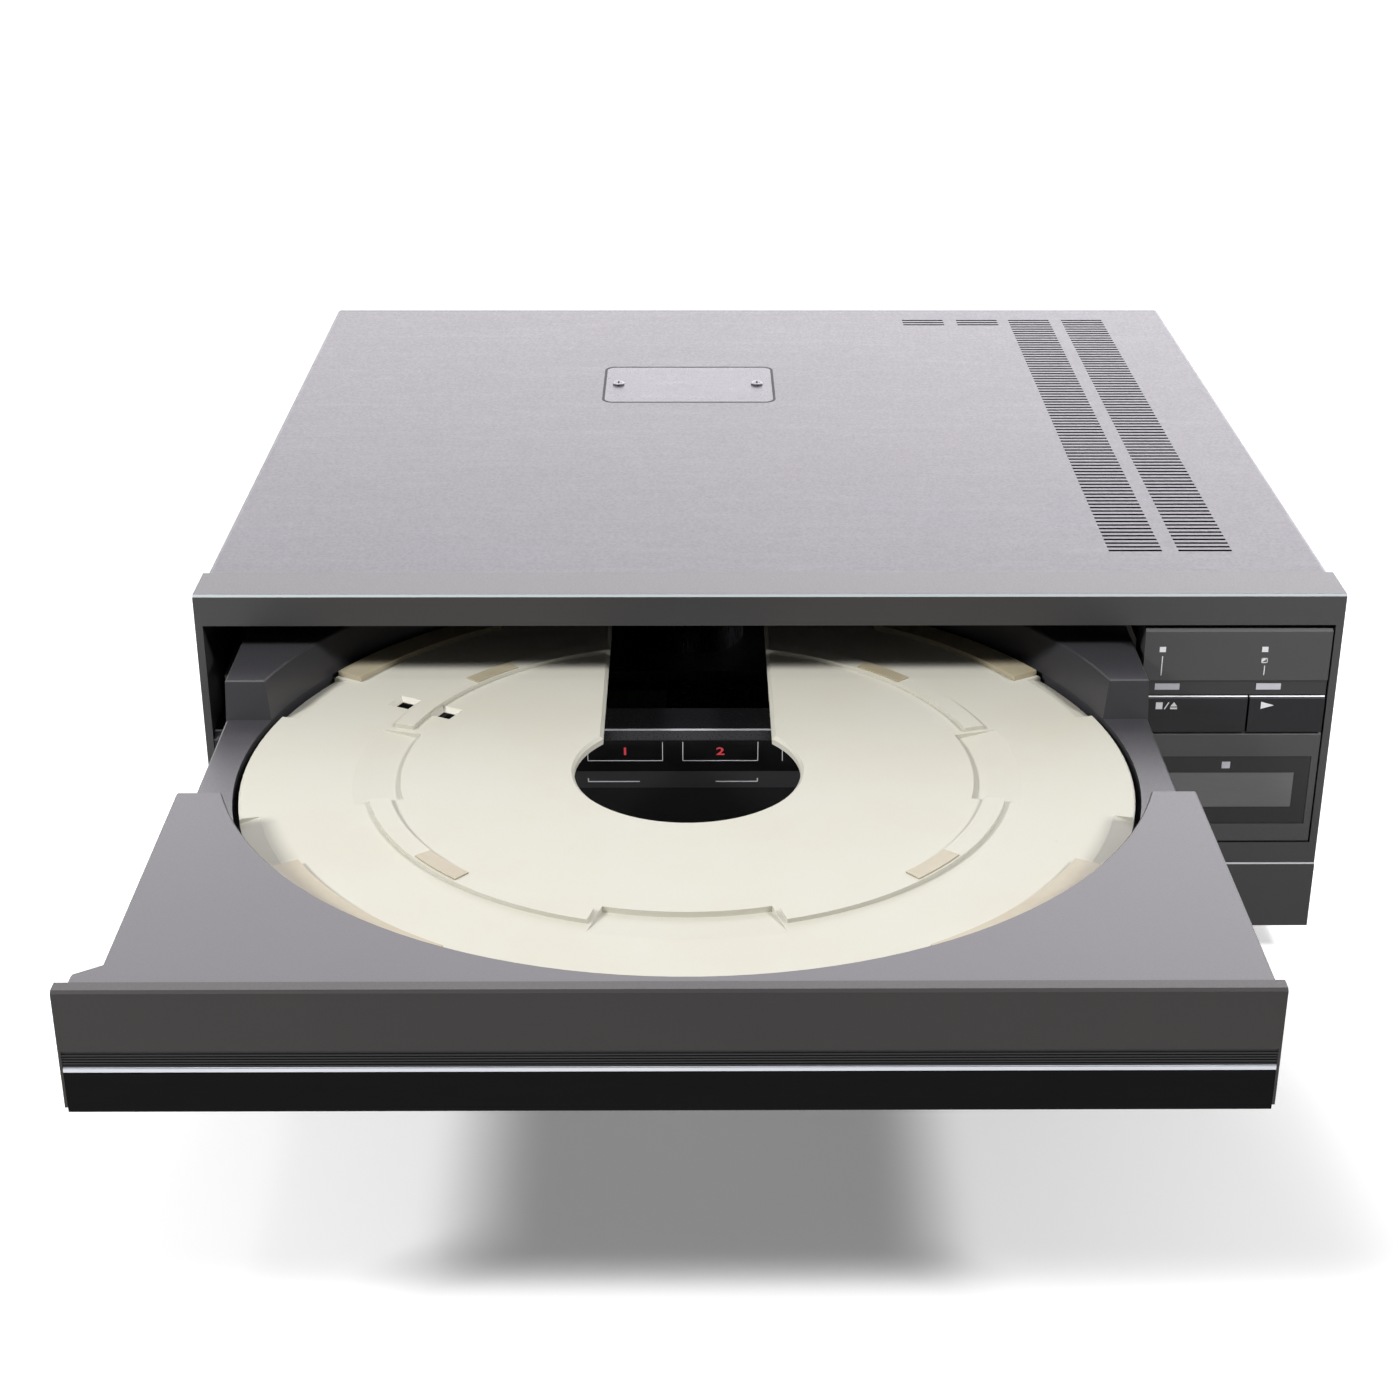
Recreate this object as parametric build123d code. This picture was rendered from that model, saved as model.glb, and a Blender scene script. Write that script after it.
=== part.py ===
"""Front-loading laserdisc player with its disc tray out, millimetres, +Z up.

X = 0 is the middle of the bezel, Z = 0 the surface it stands on, and Y runs from the tray's
front panel to the rear sockets, with Y = 0 halfway between them.
"""
from build123d import *
import math
import os

os.makedirs("parts", exist_ok=True)

# ---- driving dimensions -------------------------------------------------------------------
FOOT_H = 13.0            # floor to the casing's bottom
BEZEL_D = 21.8           # bezel depth
SPINDLE_TO_REAR = 215.0  # spindle to the rear panel's outer face
SOCKET_OUT = 9.0         # how far the rear sockets stand out
TRAY_OUT = 233.5         # bezel face to the tray's front face, tray out
TRAY_DIP = 7.6           # how much lower the tray lies when it is out
COVER_STEP = 1.3         # cover set in from the bezel, each side and on top
SHEET = 1.2              # cover and rear panel sheet
PAN_SHEET = 1.5          # base pan sheet
WALL = 3.0               # moulded plastic wall
FIT = 0.3                # gap between pieces that slide or drop in by hand
GAP = 0.5                # visible joint gap round trays and keys
RUN = 0.05               # radial running clearance of a shaft

JAMB = 2.8               # bezel's side wall beside the mouth
BROW_H = 12.1            # bezel above the mouth
MOUTH_ROOM = 9.9         # over the tray's apron when it is out
LOWER_RAIL_H = 27.6      # bezel's lower rail
LEDGE_H = 8.7            # from the rail up to the mouth
RAIL_OUT = 0.6           # the lower rail stands this much proud
LOWER_PANEL_H = 46.7     # mouth's lower edge to the sill
TRAY_OVER_SILL = 1.0
BLOCK_W = 68.7           # control block
BLOCK_GAP = 0.7          # control block to the mouth's right side
HEADER_DROP = 1.7        # mouth's upper edge to the header
HEADER_H = 26.6
LED_BAND_H = 6.1         # indicator band, up from the header's lower edge
STOP_KEY_W = 40.2        # control block's left side to the gap between the keys
KEY_TRAVEL = 2.5
KEY_GAP = 0.4
BLOCK_D = 17.0           # depth of the control block
POWER_KEY_W = 20.0
POWER_KEY_H = 12.0
POWER_TRAVEL = 3.0

HOLDER_R = 151.7         # disc holder
WELL_GAP = 2.0           # holder to the tray's round well
WELL_FLARE = 3.1         # the well's upper edge leans out this much
TRAY_RIM_W = 8.2         # side rail beside the well
TRAY_FRONT_W = 7.7       # tray front face to the well
TRAY_BACK_W = 11.2       # well to the tray's rear end
TRAY_ROOM_LEFT = 12.0    # mouth's left side to the tray
TRAY_ROOM_RIGHT = 3.0    # tray to the control block
TRAY_H = 19.0            # tray bottom to the side rails
APRON_H = 13.7           # apron and shoulders over the side rails
TRAY_FLOOR = 2.5
EDGE = 0.5               # small flats along the tray's upper edges
TRAY_HOLE_LIP = 4.65     # the tray's slot and hole are this much wider than the holder's hole
APRON_BACK = -44.5       # from the disc centre
SHOULDER_FRONT_TOP = 42.7
SHOULDER_FRONT_LOW = 38.9
EAR_OUT = 7.8            # the apron's left ear beside the panel
PANEL_T = 4.9
PANEL_H = 38.5           # tray front down to the bottom of its side cheeks
PANEL_FACE_H = 20.7      # plain face above the ribbed band
BAND_H = 4.4             # ribbed band
TRIM_H = 1.9             # bright strip
GLOSS_H = 13.4
CHEEK = 0.8              # side cheeks beside the strips
STRIP_T = 3.0

HOLDER_T = 3.0
HOLDER_HOLE_R = 38.85
HOLDER_SLOT_HALF_W = 29.8
HOLDER_DROP = 13.0
RING_R0 = 102.0          # ring ribs for the small disc
RING_W = 7.0
RING_H = 1.5
RAMP_IN = 4.3            # finger ramps in the ring's gaps, inside the ring and outside it
RAMP_OUT = 5.0
RAMP_DEPTH = 2.0
PAD_H = 2.0
PAD_REACH = 11.2         # pads, inwards from the holder's edge
SCOOP_REACH = 6.7
SCOOP_DEPTH = 2.1
LUG_W = 10.0
LUG_IN = 3.7             # lugs under the holder, inside its edge and outside it
LUG_OUT = 5.0
LUG_H = 2.8

PLATTER_R = 26.0
CONE_R = 17.3
CONE_H = 5.1
LIFT_OVER = 2.2          # platter above the lowered pads
SPINDLE_R = 3.0
MOTOR_R = 24.0
BASE_DROP = 52.8         # platter down to the mechanism base plate
BASE_T = 4.0
SHAFT_DX = 40.0          # guide shafts, each side of the spindle
SHAFT_R = 3.0
SHAFT_H = 22.0           # guide shafts over the base plate's underside
CARRIAGE_TRAVEL = 90.0
LENS_NEAR = 55.0         # lens to spindle, innermost

TOOTH_M = 1.5            # loading gear module
DRIVE_TEETH = 16
REDUCTION_TEETH = 28
FEED_M = 1.0
FEED_TEETH = 24
GEAR_W = 5.6
BACKLASH = 0.12          # taken off each flank

VENT_PITCH = 3.9
VENT_W = 1.7
VENT_LONG_IN = (78.7, 52.1)         # left edges of the columns, inwards from the cover's right side
VENT_SHORT_IN = (131.9, 104.8)
VENT_LEN = 20.4
VENT_Y0 = 40.6                      # behind the bezel face
VENT_Y1 = 361.3
PLATE_LEFT, PLATE_RIGHT = 38.3, 38.7   # access plate, to each side of the disc's centre line
PLATE_Y0, PLATE_Y1 = 228.0, 281.0      # behind the bezel face

# ---- derived places -----------------------------------------------------------------------
WELL_R = HOLDER_R + WELL_GAP
WELL_TOP_R = WELL_R + WELL_FLARE
TRAY_HALF_W = WELL_TOP_R + TRAY_RIM_W
DISC_BEHIND = WELL_TOP_R + TRAY_FRONT_W
TRAY_REAR = WELL_TOP_R + TRAY_BACK_W
TRAY_HOLE_R = HOLDER_HOLE_R + TRAY_HOLE_LIP
TRAY_SLOT_HALF_W = TRAY_HOLE_R
CASE_D = DISC_BEHIND + SPINDLE_TO_REAR
OPENING_HALF_W = (TRAY_ROOM_LEFT + 2 * TRAY_HALF_W + TRAY_ROOM_RIGHT + BLOCK_W + BLOCK_GAP) / 2
BEZEL_W = 2 * (OPENING_HALF_W + JAMB)
DISC_X = -OPENING_HALF_W + TRAY_ROOM_LEFT + TRAY_HALF_W
BLOCK_X1 = OPENING_HALF_W - BLOCK_GAP
BLOCK_X0 = BLOCK_X1 - BLOCK_W
KEY_SPLIT_X = BLOCK_X0 + STOP_KEY_W
PANEL_X0 = -OPENING_HALF_W + GAP
PANEL_X1 = BLOCK_X0 - GAP
RAIL_Z = FOOT_H + LOWER_RAIL_H
OPENING_Z0 = RAIL_Z + LEDGE_H
SILL_Z = OPENING_Z0 + LOWER_PANEL_H
TRAY_BOTTOM = SILL_Z + TRAY_OVER_SILL
RAIL_TOP = TRAY_BOTTOM + TRAY_H      # tray out: side rails, level with the disc holder
TRAY_TOP = RAIL_TOP + APRON_H
OPENING_Z1 = TRAY_TOP + MOUTH_ROOM
TOTAL_H = OPENING_Z1 + BROW_H
HEADER_Z1 = OPENING_Z1 - HEADER_DROP
HEADER_Z0 = HEADER_Z1 - HEADER_H
LED_BAND_Z1 = HEADER_Z0 + LED_BAND_H
PANEL_LOW = TRAY_TOP - PANEL_H
BAND_TOP = TRAY_TOP - PANEL_FACE_H
TRIM_TOP = BAND_TOP - BAND_H
TRIM_LOW = TRIM_TOP - TRIM_H
GLOSS_LOW = TRIM_LOW - GLOSS_H
RING_R1 = RING_R0 + RING_W
RAMP_R0 = RING_R0 - RAMP_IN
RAMP_R1 = RING_R1 + RAMP_OUT
PAD_R0 = HOLDER_R - PAD_REACH
SCOOP_R0 = HOLDER_R - SCOOP_REACH
LUG_R0 = HOLDER_R - LUG_IN
LUG_R = HOLDER_R + LUG_OUT
BACK = CASE_D + SOCKET_OUT
FACE = (TRAY_OUT - BACK) / 2         # bezel face in Y
SLOPE = TRAY_DIP / TRAY_OUT          # rise of the tray's path per mm inwards
TILT = math.degrees(math.atan(SLOPE))
DISC_Y = FACE - TRAY_OUT + DISC_BEHIND
SPINDLE_Y = DISC_Y + TRAY_OUT
COVER_X = BEZEL_W / 2 - COVER_STEP
COVER_TOP = TOTAL_H - FIT
INNER_X = COVER_X - SHEET - 0.2
PAN_TOP = FOOT_H + PAN_SHEET
REAR = FACE + CASE_D
HOLDER_TOP = RAIL_TOP
HOLDER_Z = HOLDER_TOP - HOLDER_T
PAD_TOP = HOLDER_TOP + PAD_H
PLATTER_Z = PAD_TOP + TRAY_DIP - HOLDER_DROP + LIFT_OVER
BASE_Z = PLATTER_Z - BASE_DROP
SHAFT_Z = BASE_Z + SHAFT_H
POWER_KEY = (-OPENING_HALF_W + 17.2, OPENING_Z0 + 14.7, POWER_KEY_W, POWER_KEY_H)   # centre x, z, sizes
VENT_LONG = [COVER_X - inset for inset in VENT_LONG_IN]
VENT_SHORT = [COVER_X - inset for inset in VENT_SHORT_IN]
PLATE = (DISC_X - PLATE_LEFT, DISC_X + PLATE_RIGHT, PLATE_Y0, PLATE_Y1)
POWER_X0 = DISC_X + TRAY_HALF_W + 17.2     # power supply, between the right guide and the casing
POWER_X1 = INNER_X - 3.3
BEHIND_BEZEL = FACE + BEZEL_D
KEY_Z0 = SILL_Z + KEY_GAP
KEY_Z1 = HEADER_Z0 - KEY_GAP
KEY_MID = (KEY_Z0 + KEY_Z1) / 2


# ---- helpers ------------------------------------------------------------------------------
def block(x0, x1, y0, y1, z0, z1):
    """Box between two corners."""
    return Pos((x0 + x1) / 2, (y0 + y1) / 2, (z0 + z1) / 2) * Box(x1 - x0, y1 - y0, z1 - z0)


def post(x, y, z0, z1, r):
    """Upright cylinder."""
    return Pos(x, y, (z0 + z1) / 2) * Cylinder(r, z1 - z0)


def hex_post(x, y, z0, z1, r):
    """Six-sided standoff, r to its corners."""
    return Pos(x, y, z0) * extrude(RegularPolygon(r, 6), amount=z1 - z0)


def rod_x(x0, x1, y, z, r):
    return Pos((x0 + x1) / 2, y, z) * Rot(0, 90, 0) * Cylinder(r, x1 - x0)


def rod_y(x, y0, y1, z, r):
    return Pos(x, (y0 + y1) / 2, z) * Rot(90, 0, 0) * Cylinder(r, y1 - y0)


def group(shapes):
    return Compound(children=list(shapes))


def path_bar(x0, x1, y0, y1, z0, z1, y_ref):
    """Bar along the tray's slightly rising path; z0 and z1 hold at y_ref."""
    rise0, rise1 = SLOPE * (y0 - y_ref), SLOPE * (y1 - y_ref)
    outline = Polyline((y0, z0 + rise0), (y1, z0 + rise1), (y1, z1 + rise1), (y0, z1 + rise0),
                       close=True)
    face = make_face(Plane.YZ * outline)
    return Pos(x0, 0, 0) * extrude(face, amount=x1 - x0, dir=(1, 0, 0))


def turned(points, start, sweep, x=0.0, y=0.0):
    """Ring section: an outline in radius and height, turned about an upright axis."""
    face = make_face(Plane.XZ * Polyline(*points, close=True))
    return Pos(x, y, 0) * Rot(0, 0, start) * revolve(face, Axis.Z, sweep)


def gear_outline(teeth, module):
    """Involute outline, one gap centred on +Y."""
    pitch_r = teeth * module / 2
    base_r = pitch_r * math.cos(math.radians(20))
    tip_r, root_r = pitch_r + module, pitch_r - 1.25 * module
    inv20 = math.tan(math.radians(20)) - math.radians(20)
    half_tooth = math.pi / (2 * teeth) - BACKLASH / pitch_r

    def flank(r):
        a = math.acos(min(1.0, base_r / r))
        return half_tooth + inv20 - (math.tan(a) - a)

    start_r = max(base_r, root_r + 0.05)
    radii = [start_r, (start_r + pitch_r) / 2, (pitch_r + tip_r) / 2, tip_r]
    points = []
    for i in range(teeth):
        centre = math.pi / 2 + (i + 0.5) * 2 * math.pi / teeth
        side = [(root_r, flank(radii[0]) + 0.02)] + [(r, flank(r)) for r in radii]
        for r, a in side:
            points.append((r * math.cos(centre - a), r * math.sin(centre - a)))
        for r, a in reversed(side):
            points.append((r * math.cos(centre + a), r * math.sin(centre + a)))
    return points


def gear_solid(teeth, module, width, bore):
    """Gear on the XY plane, Z from 0 to width, one gap centred on +Y."""
    body = extrude(make_face(Polyline(*gear_outline(teeth, module), close=True)), amount=width)
    return body - Pos(0, 0, width / 2) * Cylinder(bore, width + 1)


def rack_outline(length_before, length_after, module, back):
    """Rack with teeth towards -Y, one tooth centred on 0, pitch line on Y = 0."""
    pitch = math.pi * module
    lean = math.tan(math.radians(20))
    count0 = int(length_before / pitch)
    count1 = int(length_after / pitch)
    points = [(-length_before, back), (-length_before, 1.25 * module)]
    for i in range(-count0, count1):
        c = i * pitch
        half = pitch / 4 - BACKLASH
        points += [(c - half - 1.25 * module * lean, 1.25 * module), (c - half + module * lean, -module),
                   (c + half - module * lean, -module), (c + half + 1.25 * module * lean, 1.25 * module)]
    points += [(length_after, 1.25 * module), (length_after, back)]
    return points


# ---- casing -------------------------------------------------------------------------------
def make_front_bezel():
    half = BEZEL_W / 2
    body = block(-half, half, FACE, FACE + BEZEL_D, FOOT_H, TOTAL_H)
    front_top = body.edges().filter_by(Axis.X).group_by(Axis.Y)[0].sort_by(Axis.Z)[-1]
    body = chamfer(front_top, 0.9)
    body += block(-half, half, FACE - RAIL_OUT, FACE + 1, FOOT_H, RAIL_Z)
    body -= block(-OPENING_HALF_W, OPENING_HALF_W, FACE - 5, FACE + BEZEL_D + 5, OPENING_Z0, OPENING_Z1)
    inner = half - WALL
    for z0, z1 in ((FOOT_H + WALL, OPENING_Z0 - WALL), (OPENING_Z1 + WALL, TOTAL_H - WALL)):
        body -= block(-inner, inner, FACE + WALL, FACE + BEZEL_D + 5, z0, z1)
    return body


def vent_slots(x0, count, y_last):
    """Row of slots across the column, counted back from the rear one."""
    slots = []
    for i in range(count):
        y1 = FACE + y_last - i * VENT_PITCH
        slots.append(block(x0, x0 + VENT_LEN, y1 - VENT_W, y1, COVER_TOP - 5, COVER_TOP + 5))
    return slots


def make_top_cover():
    outer = block(-COVER_X, COVER_X, BEHIND_BEZEL, REAR, PAN_TOP + FIT, COVER_TOP)
    outer = fillet(outer.edges().filter_by(Axis.Y).group_by(Axis.Z)[-1], 2.0)
    inner = block(-COVER_X + SHEET, COVER_X - SHEET, BEHIND_BEZEL - 1, REAR + 1, PAN_TOP - 5,
                  COVER_TOP - SHEET)
    body = outer - inner
    for side, y in cover_screw_places():
        body -= rod_x(side * COVER_X - 3, side * COVER_X + 3, y, PAN_TOP + 14, SCREW_R)
    x0, x1, y0, y1 = PLATE
    hole = Pos((x0 + x1) / 2, FACE + (y0 + y1) / 2, COVER_TOP) * extrude(
        RectangleRounded(x1 - x0 + 2 * GAP, y1 - y0 + 2 * GAP, 5.0), amount=3, both=True)
    body -= hole
    seat = block(x0 - 8, x1 + 8, FACE + y0 - 8, FACE + y1 + 8, COVER_TOP - 2 * SHEET, COVER_TOP - SHEET)
    body += seat - [post(x, y, COVER_TOP - 3, COVER_TOP, SCREW_R) for x, y in plate_screw_places()]
    long_count = int((VENT_Y1 - VENT_Y0 - VENT_W) / VENT_PITCH) + 1
    slots = []
    for x in VENT_LONG:
        slots += vent_slots(x, long_count, VENT_Y1)
    for x in VENT_SHORT:
        slots += vent_slots(x, 3, VENT_Y1)
    return body - slots


def plate_screw_places():
    x0, x1, y0, y1 = PLATE
    return [(x0 + 6.2, FACE + (y0 + y1) / 2), (x1 - 7.2, FACE + (y0 + y1) / 2)]


def make_access_plate():
    x0, x1, y0, y1 = PLATE
    body = Pos((x0 + x1) / 2, FACE + (y0 + y1) / 2, COVER_TOP - SHEET) * extrude(
        RectangleRounded(x1 - x0, y1 - y0, 4.5), amount=SHEET)
    for x, y in plate_screw_places():
        body -= post(x, y, COVER_TOP - 3, COVER_TOP + 1, SCREW_R)
    return body


SCREW_R = 1.6
SCREW_L = 6.0
SCREW_HEAD_R = 2.7
FOOT_INSET = 34.0        # foot centre inwards from the bezel's side
FOOT_SEAT_Z = 9.5        # screw seat inside a foot


def casing_screw():
    """Cross-head screw, underside of the head on Z = 0; a six-sided shank stands for the thread."""
    head = Cylinder(SCREW_HEAD_R, 1.0, align=(Align.CENTER, Align.CENTER, Align.MIN))
    head = chamfer(head.edges().group_by(Axis.Z)[-1], 0.35)
    cross = Box(3.2, 0.7, 1.2) + Box(0.7, 3.2, 1.2)
    shank = Pos(0, 0, -SCREW_L) * extrude(RegularPolygon(SCREW_R, 6), amount=SCREW_L)
    return head - Pos(0, 0, 1.0) * cross + shank


def cover_screw_places():
    return [(side, FACE + y) for side in (-1, 1) for y in (BEZEL_D + 40.0, CASE_D - 40.0)]


def make_casing_screws():
    """The same screw ten times: access plate, cover sides and feet."""
    screws = [Pos(x, y, COVER_TOP) * casing_screw() for x, y in plate_screw_places()]
    screws += [Pos(side * COVER_X, y, PAN_TOP + 14) * Rot(0, 90 * side, 0) * casing_screw()
               for side, y in cover_screw_places()]
    screws += [Pos(x, y, FOOT_SEAT_Z) * Rot(180, 0, 0) * casing_screw() for x, y in foot_places()]
    return group(screws)


def make_bottom_chassis():
    x = INNER_X
    body = block(-x, x, BEHIND_BEZEL, REAR - SHEET, FOOT_H, PAN_TOP)
    for side in (-1, 1):
        a, b = sorted((side * x, side * (x - SHEET)))
        body += block(a, b, BEHIND_BEZEL, REAR - SHEET, PAN_TOP, PAN_TOP + 26)
    for side, y in cover_screw_places():
        body -= rod_x(side * COVER_X - 4, side * COVER_X + 3, y, PAN_TOP + 14, SCREW_R)
    for i in range(8):
        y = FACE + 190 + i * 16
        body -= block(POWER_X0 - 4, POWER_X1 - 14, y, y + 4, FOOT_H - 1, PAN_TOP + 1)
    for fx, fy in foot_places():
        body -= post(fx, fy, FOOT_H - 1, PAN_TOP + 1, SCREW_R)
    for x, y in standoff_places():
        body += hex_post(x, y, PAN_TOP, BOARD_Z, 3.5)
    for x, y in damper_places():
        body += hex_post(x, y, PAN_TOP, BASE_Z - 12, 7.0) + post(x, y, BASE_Z - 13, BASE_TOP + 4, 3.0)
    return body


BOARD_Z = PAN_TOP + 8.0


def standoff_places():
    """Pressed bosses for the main board and the power board."""
    main = [(x, y) for x in (DISC_X - 70, DISC_X + 68) for y in (SPINDLE_Y - 20, SPINDLE_Y + 70, REAR - 50)]
    return main + [(x, FACE + y) for x in (POWER_X0 + 5, POWER_X1 - 5) for y in (66, 234)]


def foot_places():
    return [(sx * (BEZEL_W / 2 - FOOT_INSET), FACE + y) for sx in (-1, 1) for y in (38.0, CASE_D - 38.0)]


def make_feet():
    feet = []
    for x, y in foot_places():
        foot = turned([(0, 0), (19.5, 0), (22.0, FOOT_H), (0, FOOT_H)], 0, 360, x, y)
        foot -= post(x, y, -1, FOOT_SEAT_Z, 7.0)
        foot -= post(x, y, FOOT_SEAT_Z - 1, FOOT_H + 1, SCREW_R)
        feet.append(foot)
    return group(feet)


SOCKET_ROWS = (PAN_TOP + 45.5, PAN_TOP + 69.5)
PHONO = [(x - INNER_X, z) for z in SOCKET_ROWS for x in (57.3, 77.3, 97.3)]
AERIAL = [(17.3 - INNER_X, z) for z in SOCKET_ROWS]
GLAND = (INNER_X - 37.3, PAN_TOP + 25.5)
PHONO_R = 4.15
AERIAL_R = 4.7
SHOULDER_R = 0.8         # the socket's shoulder in its panel hole, over the shell


def make_rear_panel():
    body = block(-INNER_X, INNER_X, REAR - SHEET, REAR, PAN_TOP - PAN_SHEET, COVER_TOP - SHEET)
    for x, z in PHONO:
        body -= rod_y(x, REAR - 3, REAR + 1, z, PHONO_R + SHOULDER_R)
    for x, z in AERIAL:
        body -= rod_y(x, REAR - 3, REAR + 1, z, AERIAL_R + SHOULDER_R)
    body -= rod_y(GLAND[0], REAR - 3, REAR + 1, GLAND[1], 6.0)
    for i in range(9):
        x = INNER_X - 97.3 + i * 8
        body -= block(x, x + 3, REAR - 3, REAR + 1, PAN_TOP + 65.5, COVER_TOP - 21.4)
    return body


def make_phono_sockets():
    """Phono sockets on one strip behind the rear panel."""
    strip = block(PHONO[0][0] - 8, PHONO[-1][0] + 8, REAR - SHEET - 3, REAR - SHEET, PHONO[0][1] - 8,
                  PHONO[-1][1] + 8)
    for x, z in PHONO:
        strip += rod_y(x, REAR - SHEET - 1, REAR, z, PHONO_R + SHOULDER_R)
        strip += rod_y(x, REAR - 1, REAR + SOCKET_OUT, z, PHONO_R)
        strip -= rod_y(x, REAR - 0.5, REAR + SOCKET_OUT + 1, z, 3.2)
        strip += rod_y(x, REAR - 1, REAR + SOCKET_OUT - 1.5, z, 1.2)
    return strip


def make_aerial_sockets():
    x, z0, z1 = AERIAL[0][0], AERIAL[0][1], AERIAL[-1][1]
    base = block(x - 10, x + 10, REAR - SHEET - 14, REAR - SHEET, z0 - 10, z1 + 10)
    for x, z in AERIAL:
        base += rod_y(x, REAR - SHEET - 1, REAR, z, AERIAL_R + SHOULDER_R)
        base += rod_y(x, REAR - 1, REAR + SOCKET_OUT, z, AERIAL_R)
    return base


def make_cord_gland():
    x, z = GLAND
    profile = [(0, 0), (6.0, 0), (6.0, SHEET), (9.5, SHEET), (7.5, SHEET + 5.5), (0, SHEET + 5.5)]
    outer = turned(profile, 0, 360)
    outer += Pos(0, 0, -2) * Cylinder(7.5, 4)
    outer -= Cylinder(3.2, 40)
    return Pos(x, REAR - SHEET, z) * Rot(-90, 0, 0) * outer


# ---- front panels, keys and displays ------------------------------------------------------
def make_lower_panel():
    """Front plate with a chamfered top edge and a sill that runs back under the tray."""
    x0, x1 = -OPENING_HALF_W + FIT, BLOCK_X0 - FIT
    outline = Polyline((FACE, OPENING_Z0 + FIT), (FACE, SILL_Z - 2.8), (FACE + 3.5, SILL_Z),
                       (FACE + BEZEL_D, SILL_Z), (FACE + BEZEL_D, SILL_Z - 2.5),
                       (FACE + WALL + 1, SILL_Z - 2.5 - 2), (FACE + WALL + 1, OPENING_Z0 + FIT), close=True)
    body = Pos(x0, 0, 0) * extrude(make_face(Plane.YZ * outline), amount=x1 - x0, dir=(1, 0, 0))
    body -= block(WINDOW_X0, WINDOW_X1, FACE - 1, FACE + 2, OPENING_Z0 + 3, SILL_Z - 2.8 - 0.4)
    kx, kz, kw, kh = POWER_KEY
    body -= block(kx - kw / 2 - KEY_GAP, kx + kw / 2 + KEY_GAP, FACE - 1, FACE + 9,
                  kz - kh / 2 - KEY_GAP, kz + kh / 2 + KEY_GAP)
    # ribs that locate it in the mouth
    body += block(-OPENING_HALF_W, x0 + 1, FACE + 2, FACE + WALL + 1, OPENING_Z0 + 6, SILL_Z - 10)
    feet = [block(x, x + 12, FACE + 2, FACE + WALL + 1, OPENING_Z0, OPENING_Z0 + 2) for x in (-160, -36, 100)]
    return body + feet


WINDOW_X0, WINDOW_X1 = DISC_X - 141.8, BLOCK_X0 - 5.8


def make_display_window():
    return block(WINDOW_X0 + 0.1, WINDOW_X1 - 0.1, FACE, FACE + 2, OPENING_Z0 + 3.1, SILL_Z - 2.8 - 0.5)


def make_display_board():
    """Board with the indicator lamps and channel display, hung behind the window."""
    y = FACE + WALL + 1
    body = block(WINDOW_X0 + 6, WINDOW_X1 - 6, y + 8, y + 9.6, OPENING_Z0 + 4, SILL_Z - 8)
    body += block(-60, 20, y, y + 8, OPENING_Z0 + 8, OPENING_Z0 + 22)
    for i in range(6):
        x = -64 + i * 28
        body += block(x, x + 20, y + 3, y + 8, SILL_Z - 12, SILL_Z - 8)
    return body + [block(x, x + 8, y, y + 8, OPENING_Z0 + 4, OPENING_Z0 + 8) for x in (-150, 100)]


def make_power_key():
    x, z, w, h = POWER_KEY
    cap = block(x - w / 2, x + w / 2, FACE - 1.5, FACE + 5, z - h / 2, z + h / 2)
    cap = chamfer(cap.edges().group_by(Axis.Y)[0], 0.8)
    return cap + block(x - 3, x + 3, FACE + 5, FACE + 22, z - 3, z + 3)


def make_power_switch():
    x, z = POWER_KEY[:2]
    body = block(x - 8, x + 8, FACE + 14, FACE + 40, z - 8, z + 8)
    body -= block(x - 3 - FIT, x + 3 + FIT, FACE + 13, FACE + 22 + POWER_TRAVEL + 1, z - 3 - FIT, z + 3 + FIT)
    return body + block(x - 8, x + 8, FACE + 32, FACE + 40, PAN_TOP, z - 8)


def shell_panel(x0, x1, z0, z1):
    """Moulded panel open at the back, with a chamfered top front edge."""
    body = block(x0, x1, FACE, FACE + BLOCK_D, z0, z1)
    body = chamfer(body.edges().filter_by(Axis.X).group_by(Axis.Y)[0].sort_by(Axis.Z)[-1], 1.0)
    return body - block(x0 + WALL, x1 - WALL, FACE + WALL, FACE + BLOCK_D + 1, z0 + WALL, z1 - WALL)


LENS_X = (BLOCK_X0 + 5.0, KEY_SPLIT_X + 2.4)
LENS_W, LENS_Z0, LENS_Z1 = 9.1, HEADER_Z0 + 2.1, HEADER_Z0 + 4.6


def make_control_header():
    body = shell_panel(BLOCK_X0, BLOCK_X1, HEADER_Z0, HEADER_Z1)
    body -= block(BLOCK_X0 - 1, BLOCK_X1 + 1, FACE - 1, FACE + 0.6, HEADER_Z0 - 1, LED_BAND_Z1)
    for x in LENS_X:
        body -= block(x, x + LENS_W, FACE - 1, FACE + WALL + 3, LENS_Z0, LENS_Z1)
    return body + block(BLOCK_X0 + 20, BLOCK_X1 - 20, FACE + 5, FACE + BLOCK_D, HEADER_Z1 - 1, OPENING_Z1)


def make_indicator_lenses():
    z0, z1 = LENS_Z0 + 0.05, LENS_Z1 - 0.05
    return group(block(x, x + LENS_W, FACE + 0.3, FACE + WALL + 2, z0, z1) for x in LENS_X)


REMOTE = (BLOCK_X0 + 2.8, BLOCK_X1 - 2.5, OPENING_Z0 + 8.1, OPENING_Z0 + 36.7)
REMOTE_IN = (BLOCK_X0 + 8.6, BLOCK_X1 - 8.2, OPENING_Z0 + 15.1, OPENING_Z0 + 29.7)
STANDBY = (BLOCK_X0 + 32.8, BLOCK_X0 + 36.0, OPENING_Z0 + 31.5, OPENING_Z0 + 34.3)


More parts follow.
